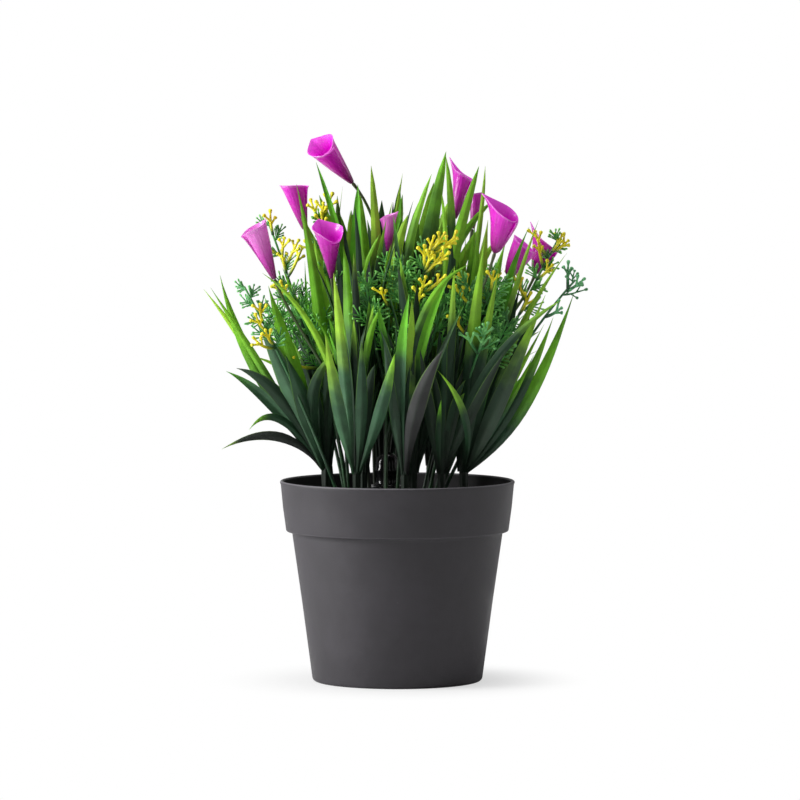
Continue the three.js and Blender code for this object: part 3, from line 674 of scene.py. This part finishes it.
def shaded(tree, colour, value):
    """A colour multiplied by a value."""
    grey = add_node(tree, "ShaderNodeCombineColor", {"Red": value, "Green": value, "Blue": value})
    return mixed(tree, 1.0, colour, grey.outputs["Color"], "MULTIPLY")


# Airbrush, on blades and buds: a mask of how much paint lies past a share of the length, with an
# edge that is soft, and uneven as a spray is.
airbrush, given = new_group("airbrush", {
    "Along": 0.0, "Start": 0.5, "Softness": 0.12, "Unevenness": 0.1}, ["Paint"])
mist = add_node(airbrush, "ShaderNodeTexNoise", {
    "Vector": on_piece(airbrush), "Scale": 90.0, "Detail": 3.0}).outputs["Fac"]
drift = number(airbrush, "MULTIPLY", number(airbrush, "SUBTRACT", mist, 0.5), given["Unevenness"])
past = number(airbrush, "SUBTRACT", number(airbrush, "ADD", given["Along"], drift), given["Start"])
bare = number(airbrush, "MULTIPLY", given["Softness"], -1.0)
add_node(airbrush, "NodeGroupOutput", {"Paint": between(airbrush, past, bare, given["Softness"])})

# Streaks, on blades and petals: noise drawn out along the piece, and different on each one. The
# scales it starts with are those of the blades.
streaks, given = new_group("streaks", {
    "Across": 0.0, "Across Scale": 9.0, "Along": 0.0, "Along Scale": 1.5, "Tone": 0.0,
    "Tone Scale": 50.0, "Detail": 2.0}, ["Streak"])
drawn = add_node(streaks, "ShaderNodeCombineXYZ", {
    axis: number(streaks, "MULTIPLY", given[key], given[f"{key} Scale"])
    for axis, key in (("X", "Across"), ("Y", "Along"), ("Z", "Tone"))})
wavy = add_node(streaks, "ShaderNodeTexNoise", {
    "Vector": drawn.outputs["Vector"], "Scale": 1.0, "Detail": given["Detail"]})
add_node(streaks, "NodeGroupOutput", {"Streak": wavy.outputs["Fac"]})

grass_paint, tree, shader = new_material("grass_plastic")
along = read(tree, "along")
across = read(tree, "across")
tone = read(tree, "tone")
cloud = grained(tree, 1800.0, 120.0)["Cloud"]
paint = placed_group(tree, airbrush, {
    "Along": along, "Start": read(tree, "lime"), "Softness": 0.17, "Unevenness": 0.35})["Paint"]
foot = ramp(tree, read(tree, "light"), [
    (0.0, (0.006, 0.026, 0.009)), (0.5, (0.028, 0.090, 0.040)), (1.0, (0.078, 0.190, 0.092))])
foot = mixed(tree, read(tree, "grey"), foot, (0.031, 0.033, 0.032))
foot = shaded(tree, foot, between(tree, along, 0.02, 0.32, 0.35, 1.0))
tips = ramp(tree, tone, [
    (0.0, (0.11, 0.44, 0.016)), (0.5, (0.24, 0.58, 0.030)), (1.0, (0.36, 0.64, 0.045))])
blade_colour = mixed(tree, paint, foot, tips)

# The paint is thin on the midrib, and some of it catches on the margins of the upper half.
off_midrib = number(tree, "ABSOLUTE", across)
rib = between(tree, off_midrib, 0.14, 0.0, 0.0, 0.35)
blade_colour = mixed(tree, rib, blade_colour, mixed(tree, 0.5, blade_colour, (0.02, 0.05, 0.02)))
margin = number(tree, "MULTIPLY", between(tree, off_midrib, 0.80, 1.0, 0.0, 0.28),
                between(tree, along, 0.40, 0.80))
blade_colour = mixed(tree, margin, blade_colour, tips)
satin = between(tree, read(tree, "light"), 0.0, 0.8, 0.62, 0.40)
ribs = placed_group(tree, streaks, {"Across": across, "Along": along, "Tone": tone})["Streak"]
set_inputs(tree, shader, {
    "Base Color": shaded(tree, blade_colour, between(tree, cloud, 0.3, 0.7, 0.78, 1.15)),
    "Roughness": number(tree, "ADD", satin, between(tree, cloud, 0.3, 0.7, -0.08, 0.08)),
    "Normal": bump(tree, ribs, 0.0002, 0.6),
    "Specular IOR Level": 0.26})

# Short dark blades stand round every crown: taller and more of them in the centre, closer in front.
for seed, (name, (crown, rows)) in enumerate(tufts.items(), 11):
    crown = np.array(crown)
    in_centre = name.startswith("centre")
    in_front = name.startswith("front")
    under = undergrowth(crown, seed, 34 if in_centre else 26, 13.0 if in_front else 20.0,
                        184.0 if in_centre else 142.0)
    girth = 2.2 if name == "left" else 1.5
    taper = 0.65 if in_centre else 1.0 if in_front else 1.3
    part = join_parts([stalk(crown, girth), blades(crown, rows, taper), blades(crown, under, 1.0)])
    tuft = add_piece(f"grass_{name}", part, grass_paint, 50.0)
    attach(tuft, "root")
    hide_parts(f"grass_tuft_{name}")


# Flower stems: thin round moulded rods, olive green. Each is pushed into the hub, climbs straight
# and then leans over, and ends in a small cup under its flower.
hub_centre = np.array([-4.0, -2.0])
socket_ring = 8.7
socket_floor = 70.5
stem_radius = 0.8
stem_sides = 12
clearance = 0.3
# A row is the azimuth of the socket, the foot of the flower, the middle of its mouth, the radius
# there, the side that its point is on, how far the point is drawn outward and upward, how the
# radius grows (under 1 for a full belly), how much higher the mouth is on the side of the point,
# how deep the seam dips (under 0: how far the rim closes in there), and the share of its height
# that the stem climbs before it leans.
flowers = [
    (156, (-17.4, 6, 191), (-29.6, -1, 205.5), 5.8, (-0.5, 1, 0.3), (1.5, 1), 0.9, 0.1, 0.2, 0.4),
    (177, (-35.6, 12, 173), (-40, 12, 190), 4.5, (-1, 0, 1), (0.5, 0.5), 0.8, 0.2, 0.1, 0.4),
    (219, (-46.5, -23, 155), (-54.0, -26, 175), 4.8, (1, 0, 0.6), (0, 1), 0.9, 0.1, 0.2, 0.4),
    (198, (-25, -9, 155), (-26.4, -14, 174), 5.8, (-0.5, 1, 0), (1, 1.5), 1.1, 0.15, 0.5, 0.4),
    (265, (-3.4, -9, 164.5), (-3.2, -10, 179), 2.8, (1, 0, 0.5), (0.5, 0.5), 1.0, 0.3, 0.2, 0.4),
    (51, (22, 18, 177), (26, 20, 194), 4.0, (-1, 0.5, 0), (4, 4.5), 0.8, 0.3, 0.3, 0.4),
    (30, (29, 23, 173), (31, 25, 186.5), 2.4, (1, 0, 0.5), (0, 0.5), 1.0, 0.3, 0.2, 0.4),
    (325, (36.8, -26, 165), (41.2, -30, 180.7), 5.6, (-1, 0.55, 0), (6, 1), 0.6, 0.35, -0.2, 0.2),
    (348, (42.3, -8, 155.5), (48.5, -10, 168), 4.8, (-0.6, 0, 1), (0, 0.5), 0.5, 0.2, -0.25, 0.4),
    (9, (53, 9, 156), (57.5, 10, 168), 5.2, (-1, 0.3, 0.7), (3.5, 4), 0.6, 0.3, -0.25, 0.4),
    (72, (14, 20, 154), (15, 23, 169), 3.6, (1, 0, 0), (1, 1), 1.0, 0.3, 0.3, 0.4),
    (122, (-17, 38, 148), (-20, 46, 161), 5.2, (0, 1, 0), (3, 3), 0.9, 0.3, 0.4, 0.4),
    (141, (-25, 15, 134), (-28, 18, 146), 4.2, (-1, 1, 0), (1.5, 2), 1.0, 0.3, 0.3, 0.4),
    (93, (9, 38, 148), (11, 46, 161), 5.0, (1, 1, 0), (2.5, 3), 0.9, 0.3, 0.4, 0.4),
]


def rounded_tube(centres, tangents, radius, sides):
    """Round tubes along paths. The radius is given for every ring, and each ring stands square to
    its path, turned from a fixed side direction that no path runs along."""
    side = unit(np.cross(tangents, np.array([0.31, 0.95, 0.02])))
    other = np.cross(tangents, side)
    angle = np.arange(sides) * 2 * np.pi / sides
    ring = np.cos(angle)[:, None] * side[..., None, :] + np.sin(angle)[:, None] * other[..., None, :]
    return centres[..., None, :] + radius[..., None, None] * ring


def stem_curve(row, t):
    """Points and unit tangents of the cubic from the socket, straight up at first, to the foot of
    the flower, along the flower's axis at last."""
    socket, foot, mouth = row[0], np.array(row[1], float), np.array(row[2], float)
    start = np.append(polar(hub_centre, socket_ring, socket), socket_floor)
    axis = unit(mouth - foot)
    end = foot - clearance * axis
    height = end[2] - start[2]
    second = start + np.array([0, 0, row[-1] * height])
    third = end - 0.3 * height * axis
    t = t[:, None]
    points = ((1 - t) ** 3 * start + 3 * (1 - t) ** 2 * t * second
              + 3 * (1 - t) * t ** 2 * third + t ** 3 * end)
    tangents = (3 * (1 - t) ** 2 * (second - start) + 6 * (1 - t) * t * (third - second)
                + 3 * t ** 2 * (end - third))
    return points, unit(tangents)


stem_paint, tree, shader = new_material("stem_plastic")
cloud = grained(tree, 1800.0, 160.0)["Cloud"]
olive = ramp(tree, read(tree, "along"), [
    (0.0, (0.012, 0.018, 0.012)), (0.45, (0.026, 0.062, 0.016)), (0.9, (0.060, 0.115, 0.022)),
    (1.0, (0.075, 0.090, 0.030))])
set_inputs(tree, shader, {
    "Base Color": mixed(tree, between(tree, cloud, 0.3, 0.7, 0.0, 0.35), olive, (0.030, 0.032, 0.014)),
    "Roughness": between(tree, cloud, 0.3, 0.7, 0.38, 0.5),
    "Normal": bump(tree, cloud, 0.0002)})

# The rod narrows upward, and the cup at its end is wider, with its edge drawn in.
t = np.concatenate([np.linspace(0, 0.96, 30), [0.972, 0.984, 0.993, 1.0]])
cup = 1.0 + 0.3 * np.clip((t - 0.96) / 0.03, 0, 1)
radius = stem_radius * (1 - 0.32 * t) * cup
radius[-1] *= 0.75
for index, row in enumerate(flowers, 1):
    points = rounded_tube(*stem_curve(row, t), radius, stem_sides) * MM
    part = (points, rows_of_grid(1, len(t), stem_sides), marked(points.shape[:2], along=t[:, None]))
    stem = add_piece(f"stem_{index}", part, stem_paint)
    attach(stem, "root")
    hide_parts(f"flower_stem_{index}")


# Flowers: a thin magenta sheet rolled round on itself into a trumpet. Its two edges overlap on one
# side, the rim rolls outward, and on the other side it is drawn out to a point. Pressed, not sewn.
spathe_foot_radius = 0.9
sheet_thickness = 0.42
overlap = 0.34
roll_start = 0.84


def closed_shell(outer, thickness):
    """A sheet with two faces and an edge all round. The inner face lies a thickness inside the outer
    one along its normals, which come from the differences between neighbouring points."""
    normal = unit(np.cross(np.gradient(outer, axis=1), np.gradient(outer, axis=0)))
    inner = outer - normal * thickness
    rows, columns = outer.shape[:2]
    faces = rows_of_grid(1, rows, columns, closed=False)
    back = [[rows * columns + i for i in face[::-1]] for face in faces]
    grid = np.arange(rows * columns).reshape(rows, columns)
    border = np.concatenate([grid[0, :-1], grid[:-1, -1], grid[-1, :0:-1], grid[:0:-1, 0]])
    after = np.roll(border, -1)
    edge = np.stack([after, border, border + rows * columns, after + rows * columns], -1).tolist()
    return np.stack([outer, inner]), faces + back + edge


def spathe(row, turn):
    """A rolled sheet about the axis from foot to mouth. The radius grows as a power of the height and
    rolls out at the rim. It also grows from one edge to the other, most at the last, so that this
    edge lies outside the other. Slow waves round the axis make it uneven towards the rim. The rim
    is higher on the side of the point, which is drawn up and out, and on the side where the edges
    overlap it dips, or closes in for a dip under 0."""
    foot, mouth, lip = (np.array(value, float) for value in (row[1], row[2], row[4]))
    radius, (outward, upward), growth, slant, dip = row[3], row[5], row[6], row[7], row[8]
    axis = mouth - foot
    length = np.linalg.norm(axis)
    axis = axis / length
    towards = unit(lip - axis * (lip @ axis))
    sideways = np.cross(axis, towards)

    t = np.linspace(0, 1, 28)[:, None] ** 0.85
    turns = np.linspace(-1, 1, 61)[None, :]
    angle = (np.pi + overlap) * turns
    near_point = np.clip(np.cos(angle), 0, 1)
    near_seam = np.clip(-np.cos(angle), 0, 1)
    roll = np.clip((t - roll_start) / (1 - roll_start), 0, 1) ** 2
    outer_side = turn * turns
    spiral = 0.07 * outer_side ** 3 + 0.16 * np.clip(outer_side, 0, 1) ** 12
    spread = spathe_foot_radius + (radius - spathe_foot_radius) * t ** growth
    spread = spread * (1 + t * spiral) + 0.06 * radius * roll
    spread = spread * (1 + 0.045 * t ** 3 * np.sin(3 * angle + radius) + 0.05 * t * np.cos(2 * angle))
    spread = spread * (1 + min(dip, 0) * near_seam ** 2 * t ** 10)

    drawn = near_point ** 6 * t ** 5
    height = (length * t + slant * spread * np.cos(angle) * t ** 2 + upward * drawn
              - 0.08 * radius * roll - max(dip, 0) * radius * near_seam ** 4 * t ** 3)
    level = spread * np.cos(angle) + outward * drawn
    aside = spread * np.sin(angle) * (1 - 0.55 * near_point ** 8 * t ** 6)
    outer = (foot + height[..., None] * axis + level[..., None] * towards
             + aside[..., None] * sideways)
    points, faces = closed_shell(outer, sheet_thickness * (1 - 0.5 * t ** 4)[..., None])
    marks = marked(points.shape[:3], along=t, round=turns, inside=np.array([0.0, 1.0])[:, None, None],
                   tone=row[0] * 0.37 % 1)
    return points * MM, faces, marks


petal_paint, tree, shader = new_material("petal_plastic")
along = read(tree, "along")
tone = read(tree, "tone")
inside = read(tree, "inside")
outside = ramp(tree, along, [
    (0.0, (0.10, 0.006, 0.055)), (0.2, (0.30, 0.010, 0.20)), (0.5, (0.50, 0.008, 0.38)),
    (0.93, (0.62, 0.014, 0.49)), (1.0, (0.80, 0.22, 0.68))])
within = ramp(tree, along, [
    (0.0, (0.09, 0.0, 0.06)), (0.4, (0.36, 0.0, 0.28)), (0.75, (0.62, 0.004, 0.52)),
    (1.0, (0.80, 0.10, 0.70))])
petal = mixed(tree, inside, outside, within)
streak = placed_group(tree, streaks, {
    "Across": read(tree, "round"), "Across Scale": 14.0, "Along": along, "Along Scale": 1.2,
    "Tone": tone, "Tone Scale": 40.0, "Detail": 3.0})["Streak"]
petal = mixed(tree, between(tree, streak, 0.45, 0.75, 0.0, 0.3), petal, (0.72, 0.04, 0.60))
petal = mixed(tree, between(tree, streak, 0.5, 0.25, 0.0, 0.4), petal, (0.30, 0.006, 0.22))

# A few of the flowers are paler towards the rim: partly a paler pink of their own, partly a painted
# highlight for the bright light on them. A faint glow stands in for the light that comes through the
# thin sheet, and most of it shows inside.
paler_and_highlit = number(tree, "MULTIPLY", between(tree, tone, 0.12, 0.02, 0.0, 0.6),
               between(tree, along, 0.2, 0.9))
petal = mixed(tree, paler_and_highlit, petal, (0.80, 0.34, 0.68))
glow = mixed(tree, between(tree, inside, 0.0, 1.0, 0.23, 1.0), (0.0, 0.0, 0.0), petal)
set_inputs(tree, shader, {
    "Base Color": petal,
    "Roughness": between(tree, grained(tree, 1500.0, 170.0)["Cloud"], 0.3, 0.7, 0.20, 0.34),
    "Normal": bump(tree, streak, 0.0004, 0.6),
    "Specular IOR Level": 0.35,
    "Coat Weight": 0.25,
    "Coat Roughness": 0.12,
    "Emission Color": glow,
    "Emission Strength": 0.22,
    "Subsurface Weight": 0.25,
    "Subsurface Radius": (0.002, 0.0006, 0.0018),
    "Subsurface Scale": 1.0})

for index, row in enumerate(flowers, 1):
    flower = add_piece(f"spathe_{index}", spathe(row, 1 if index % 2 else -1), petal_paint, 60.0)
    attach(flower, "root")
    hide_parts(f"flower_{index}")


# Sprigs: moulded sprays with thin twigs that fork into leaflets, blue green at the foot. A few twigs
# end in a fork of round buds dipped in yellow. Each stem stands in the filler beside the hub.
filler_level = 62.0
sprig_depth = 7.0
sprig_ring = 14.0
twig_radius = 0.42
leaflet_radius = 0.33
bud_radius = 0.85
bud_drop = np.array([0.0, 0.0, 7.0])
club_steps = np.array([0.0, 0.35, 0.60, 0.74, 0.88, 0.97, 1.0])
# Leaflets leave a side twig at these shares of its length, each to its own side. Sprays whose
# leaflets have wide tips keep only the sparse ones.
fork_places = np.array([0.12, 0.24, 0.36, 0.48, 0.60, 0.72, 0.84, 0.92, 1.0])
fork_turns = np.array([1.0, -1.0, 1.0, -1.0, 1.0, -1.0, 1.0, -1.0, 0.15])
sparse = [1, 4, 7, 8]


def clubs(start, end, radius, bud, sides=6):
    """Straight leaflets from start to end with a rounded tip. The radius shrinks a little and then
    swells to the bud in the last third, and ends in a half round."""
    t = club_steps
    slim = 1 - 0.3 * t / 0.60
    swollen = np.array([0, 0, 0, 0.82, 1.0, 0.72, 0.25])
    profile = np.where(t < 0.7, radius * slim, bud[:, None] * swollen)
    centres = start[:, None] + t[:, None] * (end - start)[:, None]
    tangents = np.broadcast_to(unit(end - start)[:, None], centres.shape)
    return rounded_tube(centres, tangents, profile, sides)


def painted(points, along, ripe, blue):
    """Tubes in metres, with the place along the twig and how yellow and how blue each point is."""
    marks = marked(points.shape[:3], along=along, ripe=ripe, blue=blue)
    return points * MM, rows_of_grid(*points.shape[:3]), marks


def spray(root, middle, end, face, count, reach, knob, blue, low, draw):
    """A bowed stem with side twigs on alternate sides from the low share of its length up, each with
    nine leaflets, or with four where their tips are wide. Side twigs bend up towards the light."""
    t = np.linspace(0, 1, 26)
    stem = rounded_tube(*bow(root, middle, end, t), (0.8 - 0.4 * t)[None], 8)
    parts = [painted(stem, 0.7 * t[None, :, None] ** 3, 0.0, blue)]

    share = np.linspace(0, 1, 2 * count)
    at = low + (0.985 - low) * share
    start, along = (value[0] for value in bow(root, middle, end, at))
    side = unit(np.cross(along, facing(np.full(len(at), float(face)))))
    front = np.cross(side, along)
    turn = np.where(np.arange(len(at)) % 2 == 0, 1.0, -1.0)[:, None]
    lean = turn * draw.uniform(0.7, 1.1, (len(at), 1))
    heading = unit(along + side * lean + front * draw.uniform(-0.7, 0.7, (len(at), 1)))
    length = reach * (1 - 0.5 * share) * draw.uniform(0.75, 1.1, len(at))
    finish = start + heading * length[:, None]
    bend = 0.5 * (start + finish) - along * (0.08 * length)[:, None]
    steps = np.linspace(0, 1, 7)
    slim = np.broadcast_to(twig_radius * (1 - 0.3 * steps), (len(at), len(steps)))
    twigs = rounded_tube(*bow(start, bend, finish, steps), slim, 6)
    parts.append(painted(twigs, 0.3 + 0.5 * steps[None, :, None], 0.0, blue))

    kept = sparse if knob > 0.5 else slice(None)
    places, turns = fork_places[kept], fork_turns[kept]
    fork_start, fork_along = bow(start, bend, finish, places)
    fork_side = unit(np.cross(fork_along, front[:, None]))
    forks = (len(at), len(places), 1)
    spread = turns[None, :, None] * draw.uniform(0.55, 1.0, forks)
    nod = draw.uniform(-0.5, 0.5, forks)
    fork_heading = unit(fork_along + fork_side * spread + front[:, None] * nod)
    fork_length = draw.uniform(3.2, 5.4, forks) * (1 - 0.25 * share)[:, None, None]
    fork_end = fork_start + fork_heading * fork_length
    leaflets = clubs(fork_start.reshape(-1, 3), fork_end.reshape(-1, 3), leaflet_radius,
                     np.full(len(at) * len(places), knob))
    club_along = np.array([0.5, 0.6, 0.75, 0.85, 0.92, 1.0, 1.0])[None, :, None]
    parts.append(painted(leaflets, club_along, 0.0, blue))
    return parts


def bud_twigs(root, middle, end, buds, ripe, blue, draw):
    """Thin twigs that leave the stem nearest to a point below each bud place, bow down a little on
    the way up to it, and end in a fork of three buds. On the ripe ones the yellow fades down."""
    stem = bow(root, middle, end, np.linspace(0.3, 1.0, 60))[0][0]
    buds = np.array(buds, float)
    below = buds - bud_drop
    nearest = np.argmin(np.linalg.norm(stem[None] - below[:, None], axis=-1), axis=1)
    start = stem[nearest]
    sag = 0.08 * np.linalg.norm(buds - start, axis=-1)[:, None]
    bend = 0.5 * (start + buds) - np.array([0.0, 0.0, 1.0]) * sag
    steps = np.linspace(0, 1, 8)
    centres, tangents = bow(start, bend, buds, steps)
    twigs = rounded_tube(centres, tangents, np.broadcast_to(0.65 - 0.1 * steps, centres.shape[:2]), 6)
    parts = [painted(twigs, steps[None, :, None], ripe, blue)]

    heading = tangents[:, -1:]
    front = facing(np.zeros(1))
    forks = (len(buds), 3, 1)
    turns = np.array([0.75, -0.75, 0.1])[None, :, None] * draw.uniform(0.7, 1.2, forks)
    directions = unit(heading + unit(np.cross(heading, front)) * turns
                      + front * draw.uniform(-0.5, 0.5, forks))
    first = centres[:, [-3, -2, -2]]
    reached = first + directions * draw.uniform(3.0, 5.2, forks)
    sizes = bud_radius * draw.uniform(0.75, 1.0, 3 * len(buds))
    knobs = clubs(first.reshape(-1, 3), reached.reshape(-1, 3), 0.55, sizes, 8)
    parts.append(painted(knobs, 1.0, ripe, blue))
    return parts


def sprig(row, seed):
    """A main spray and, where it has five pairs of twigs or more, two side ones that leave its stem at
    a third and at half of its length, one to each side, and end lower down. Draws from the seed vary
    the angles and lengths."""
    foot, end, middle, face, count, reach, low, knob, blue, buds = row
    draw = np.random.default_rng(seed)
    root = np.append(polar(hub_centre, sprig_ring, foot), filler_level - sprig_depth)[None]
    end, middle = np.array([end], float), np.array([middle], float)
    parts = spray(root, middle, end, face, count, reach, knob, blue, low, draw)
    parts += bud_twigs(root, middle, end, buds, 1.0 if knob < 0.5 else 0.0, blue, draw)
    if count < 5:
        return join_parts(parts)
    side = unit(np.cross(end - middle, facing(float(face))))
    for share, way, drop in ((0.34, 1.0, 0.22), (0.50, -1.0, 0.14)):
        start = bow(root, middle, end, [share])[0][0]
        tip = end + way * 1.05 * reach * side - drop * (end - start)
        half = 0.5 * (start + tip) + 0.12 * reach * way * side
        parts += spray(start, half, tip, face, count - 1, 0.8 * reach, knob, blue, low - 0.06, draw)
    return join_parts(parts)


sprig_paint, tree, shader = new_material("sprig_plastic")
along = read(tree, "along")
cloud = grained(tree, 1800.0, 200.0)["Cloud"]
green = ramp(tree, along, [
    (0.0, (0.016, 0.050, 0.016)), (0.5, (0.060, 0.330, 0.035)), (1.0, (0.270, 0.740, 0.120))])
teal = ramp(tree, along, [
    (0.0, (0.012, 0.036, 0.022)), (0.5, (0.040, 0.220, 0.080)), (1.0, (0.180, 0.580, 0.260))])
leafy = mixed(tree, read(tree, "blue"), green, teal)
leafy = mixed(tree, between(tree, cloud, 0.45, 0.65, 0.0, 0.6), leafy, (0.025, 0.110, 0.035))
dip = placed_group(tree, airbrush, {
    "Along": along, "Start": 0.42, "Softness": 0.3, "Unevenness": 0.4})["Paint"]
dipped = number(tree, "MULTIPLY", dip, read(tree, "ripe"))
yellow = mixed(tree, between(tree, cloud, 0.35, 0.65), (0.82, 0.70, 0.010), (1.0, 0.95, 0.035))
set_inputs(tree, shader, {
    "Base Color": mixed(tree, dipped, leafy, yellow),
    "Roughness": between(tree, cloud, 0.3, 0.7, 0.38, 0.5),
    "Normal": bump(tree, cloud, 0.0003)})

# A row is the azimuth of the foot about the hub, the end of the stem, the point halfway along it,
# the angle that the flat of the spray faces, the number of twig pairs, their length, where on the
# stem they begin, the radius of the leaflets' tips, how blue the green is, and the places of the
# buds, which are yellow where that radius is under 0.5.
sprigs = {
    "left_top": (176, (-29, 1, 178), (-22, 1, 120), 10, 4, 6, 0.66, 0.40, 0.2, [
        (-34.5, 0, 167), (-32.5, 0, 182), (-28.5, -1, 182), (-26, 0, 184), (-29, -2, 177)]),
    "left_high": (158, (-50, 17, 176), (-31, 10, 118), 0, 4, 7, 0.62, 0.38, 0.4, [
        (-49, 15, 177), (-44, 14, 168), (-39, 13, 167), (-44.5, 14, 163), (-37.5, 12, 164),
        (-51, 14, 167)]),
    "left": (207, (-58, -20, 152), (-36, -14, 106), -10, 4, 5.5, 0.74, 0.42, 0.6, [
        (-52, -24, 144), (-53, -25, 139.5), (-49.5, -24, 134), (-53, -25, 131)]),
    "left_front": (190, (-42, -2, 152), (-26, -4, 108), 0, 6, 8, 0.60, 0.40, 0.1, [
        (-42.5, -12, 123.5), (-44, -12, 152)]),
    "centre": (270, (-2, -22, 160), (-4, -18, 112), 0, 7, 9, 0.62, 0.42, 0.1, [(-6, -24, 150.5)]),
    "centre_right": (285, (12, -24, 166), (3, -20, 114), 5, 5, 8, 0.70, 0.42, 0.1, [
        (13, -25, 169), (16.5, -26, 170.5), (19.5, -25, 169), (22, -25, 170), (10, -26, 165.5),
        (12.5, -27, 164), (15, -26, 162.5), (18, -26, 164), (16.5, -27, 155), (10, -27, 154),
        (8.5, -27, 150)]),
    "right_front": (338, (38, -21, 156), (21, -15, 110), 10, 7, 9, 0.70, 0.42, 0.2, [
        (23, -22, 156.5), (21.5, -23, 152.5), (21, -23, 141), (36, -24, 156)]),
    "front_low": (352, (33, -28, 134), (22, -15, 100), 0, 1, 5, 0.90, 0.60, 0.5, [
        (33.5, -28, 136.5), (32, -28, 132), (26.5, -28, 133.5)]),
    "right": (5, (68, -4, 154), (38, -2, 112), 0, 1, 6, 0.92, 0.60, 0.9, [
        (65, -4, 158), (69, -4, 152.5), (61.5, -4, 142.5)]),
    "right_high": (20, (62, 4, 170), (36, 4, 118), -10, 4, 6, 0.72, 0.42, 0.2, [
        (44, 2, 156.5), (46, 2, 154.5), (50, 2, 146.5), (52.5, 2, 172), (54, 3, 166.5), (62, 4, 169),
        (64.5, 4, 168), (58, 3, 158)]),
    "back_right": (42, (36, 32, 152), (20, 18, 110), 130, 7, 9, 0.5, 0.42, 0.4, [
        (38, 34, 153), (31, 30, 150), (40, 30, 144)]),
    "back": (84, (4, 42, 150), (0, 26, 108), 180, 7, 9, 0.5, 0.42, 0.5, [
        (6, 44, 152), (0, 42, 147), (10, 40, 143), (-5, 38, 140)]),
    "back_left": (150, (-44, 21, 148), (-27, 13, 108), 220, 7, 9, 0.5, 0.42, 0.4, [
        (-46, 23, 150), (-40, 22, 146), (-47, 18, 140)]),
}
for seed, (name, row) in enumerate(sprigs.items(), 41):
    made = add_piece(f"spray_{name}", sprig(row, seed), sprig_paint, 70.0)
    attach(made, "root")
    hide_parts(f"sprig_{name}")
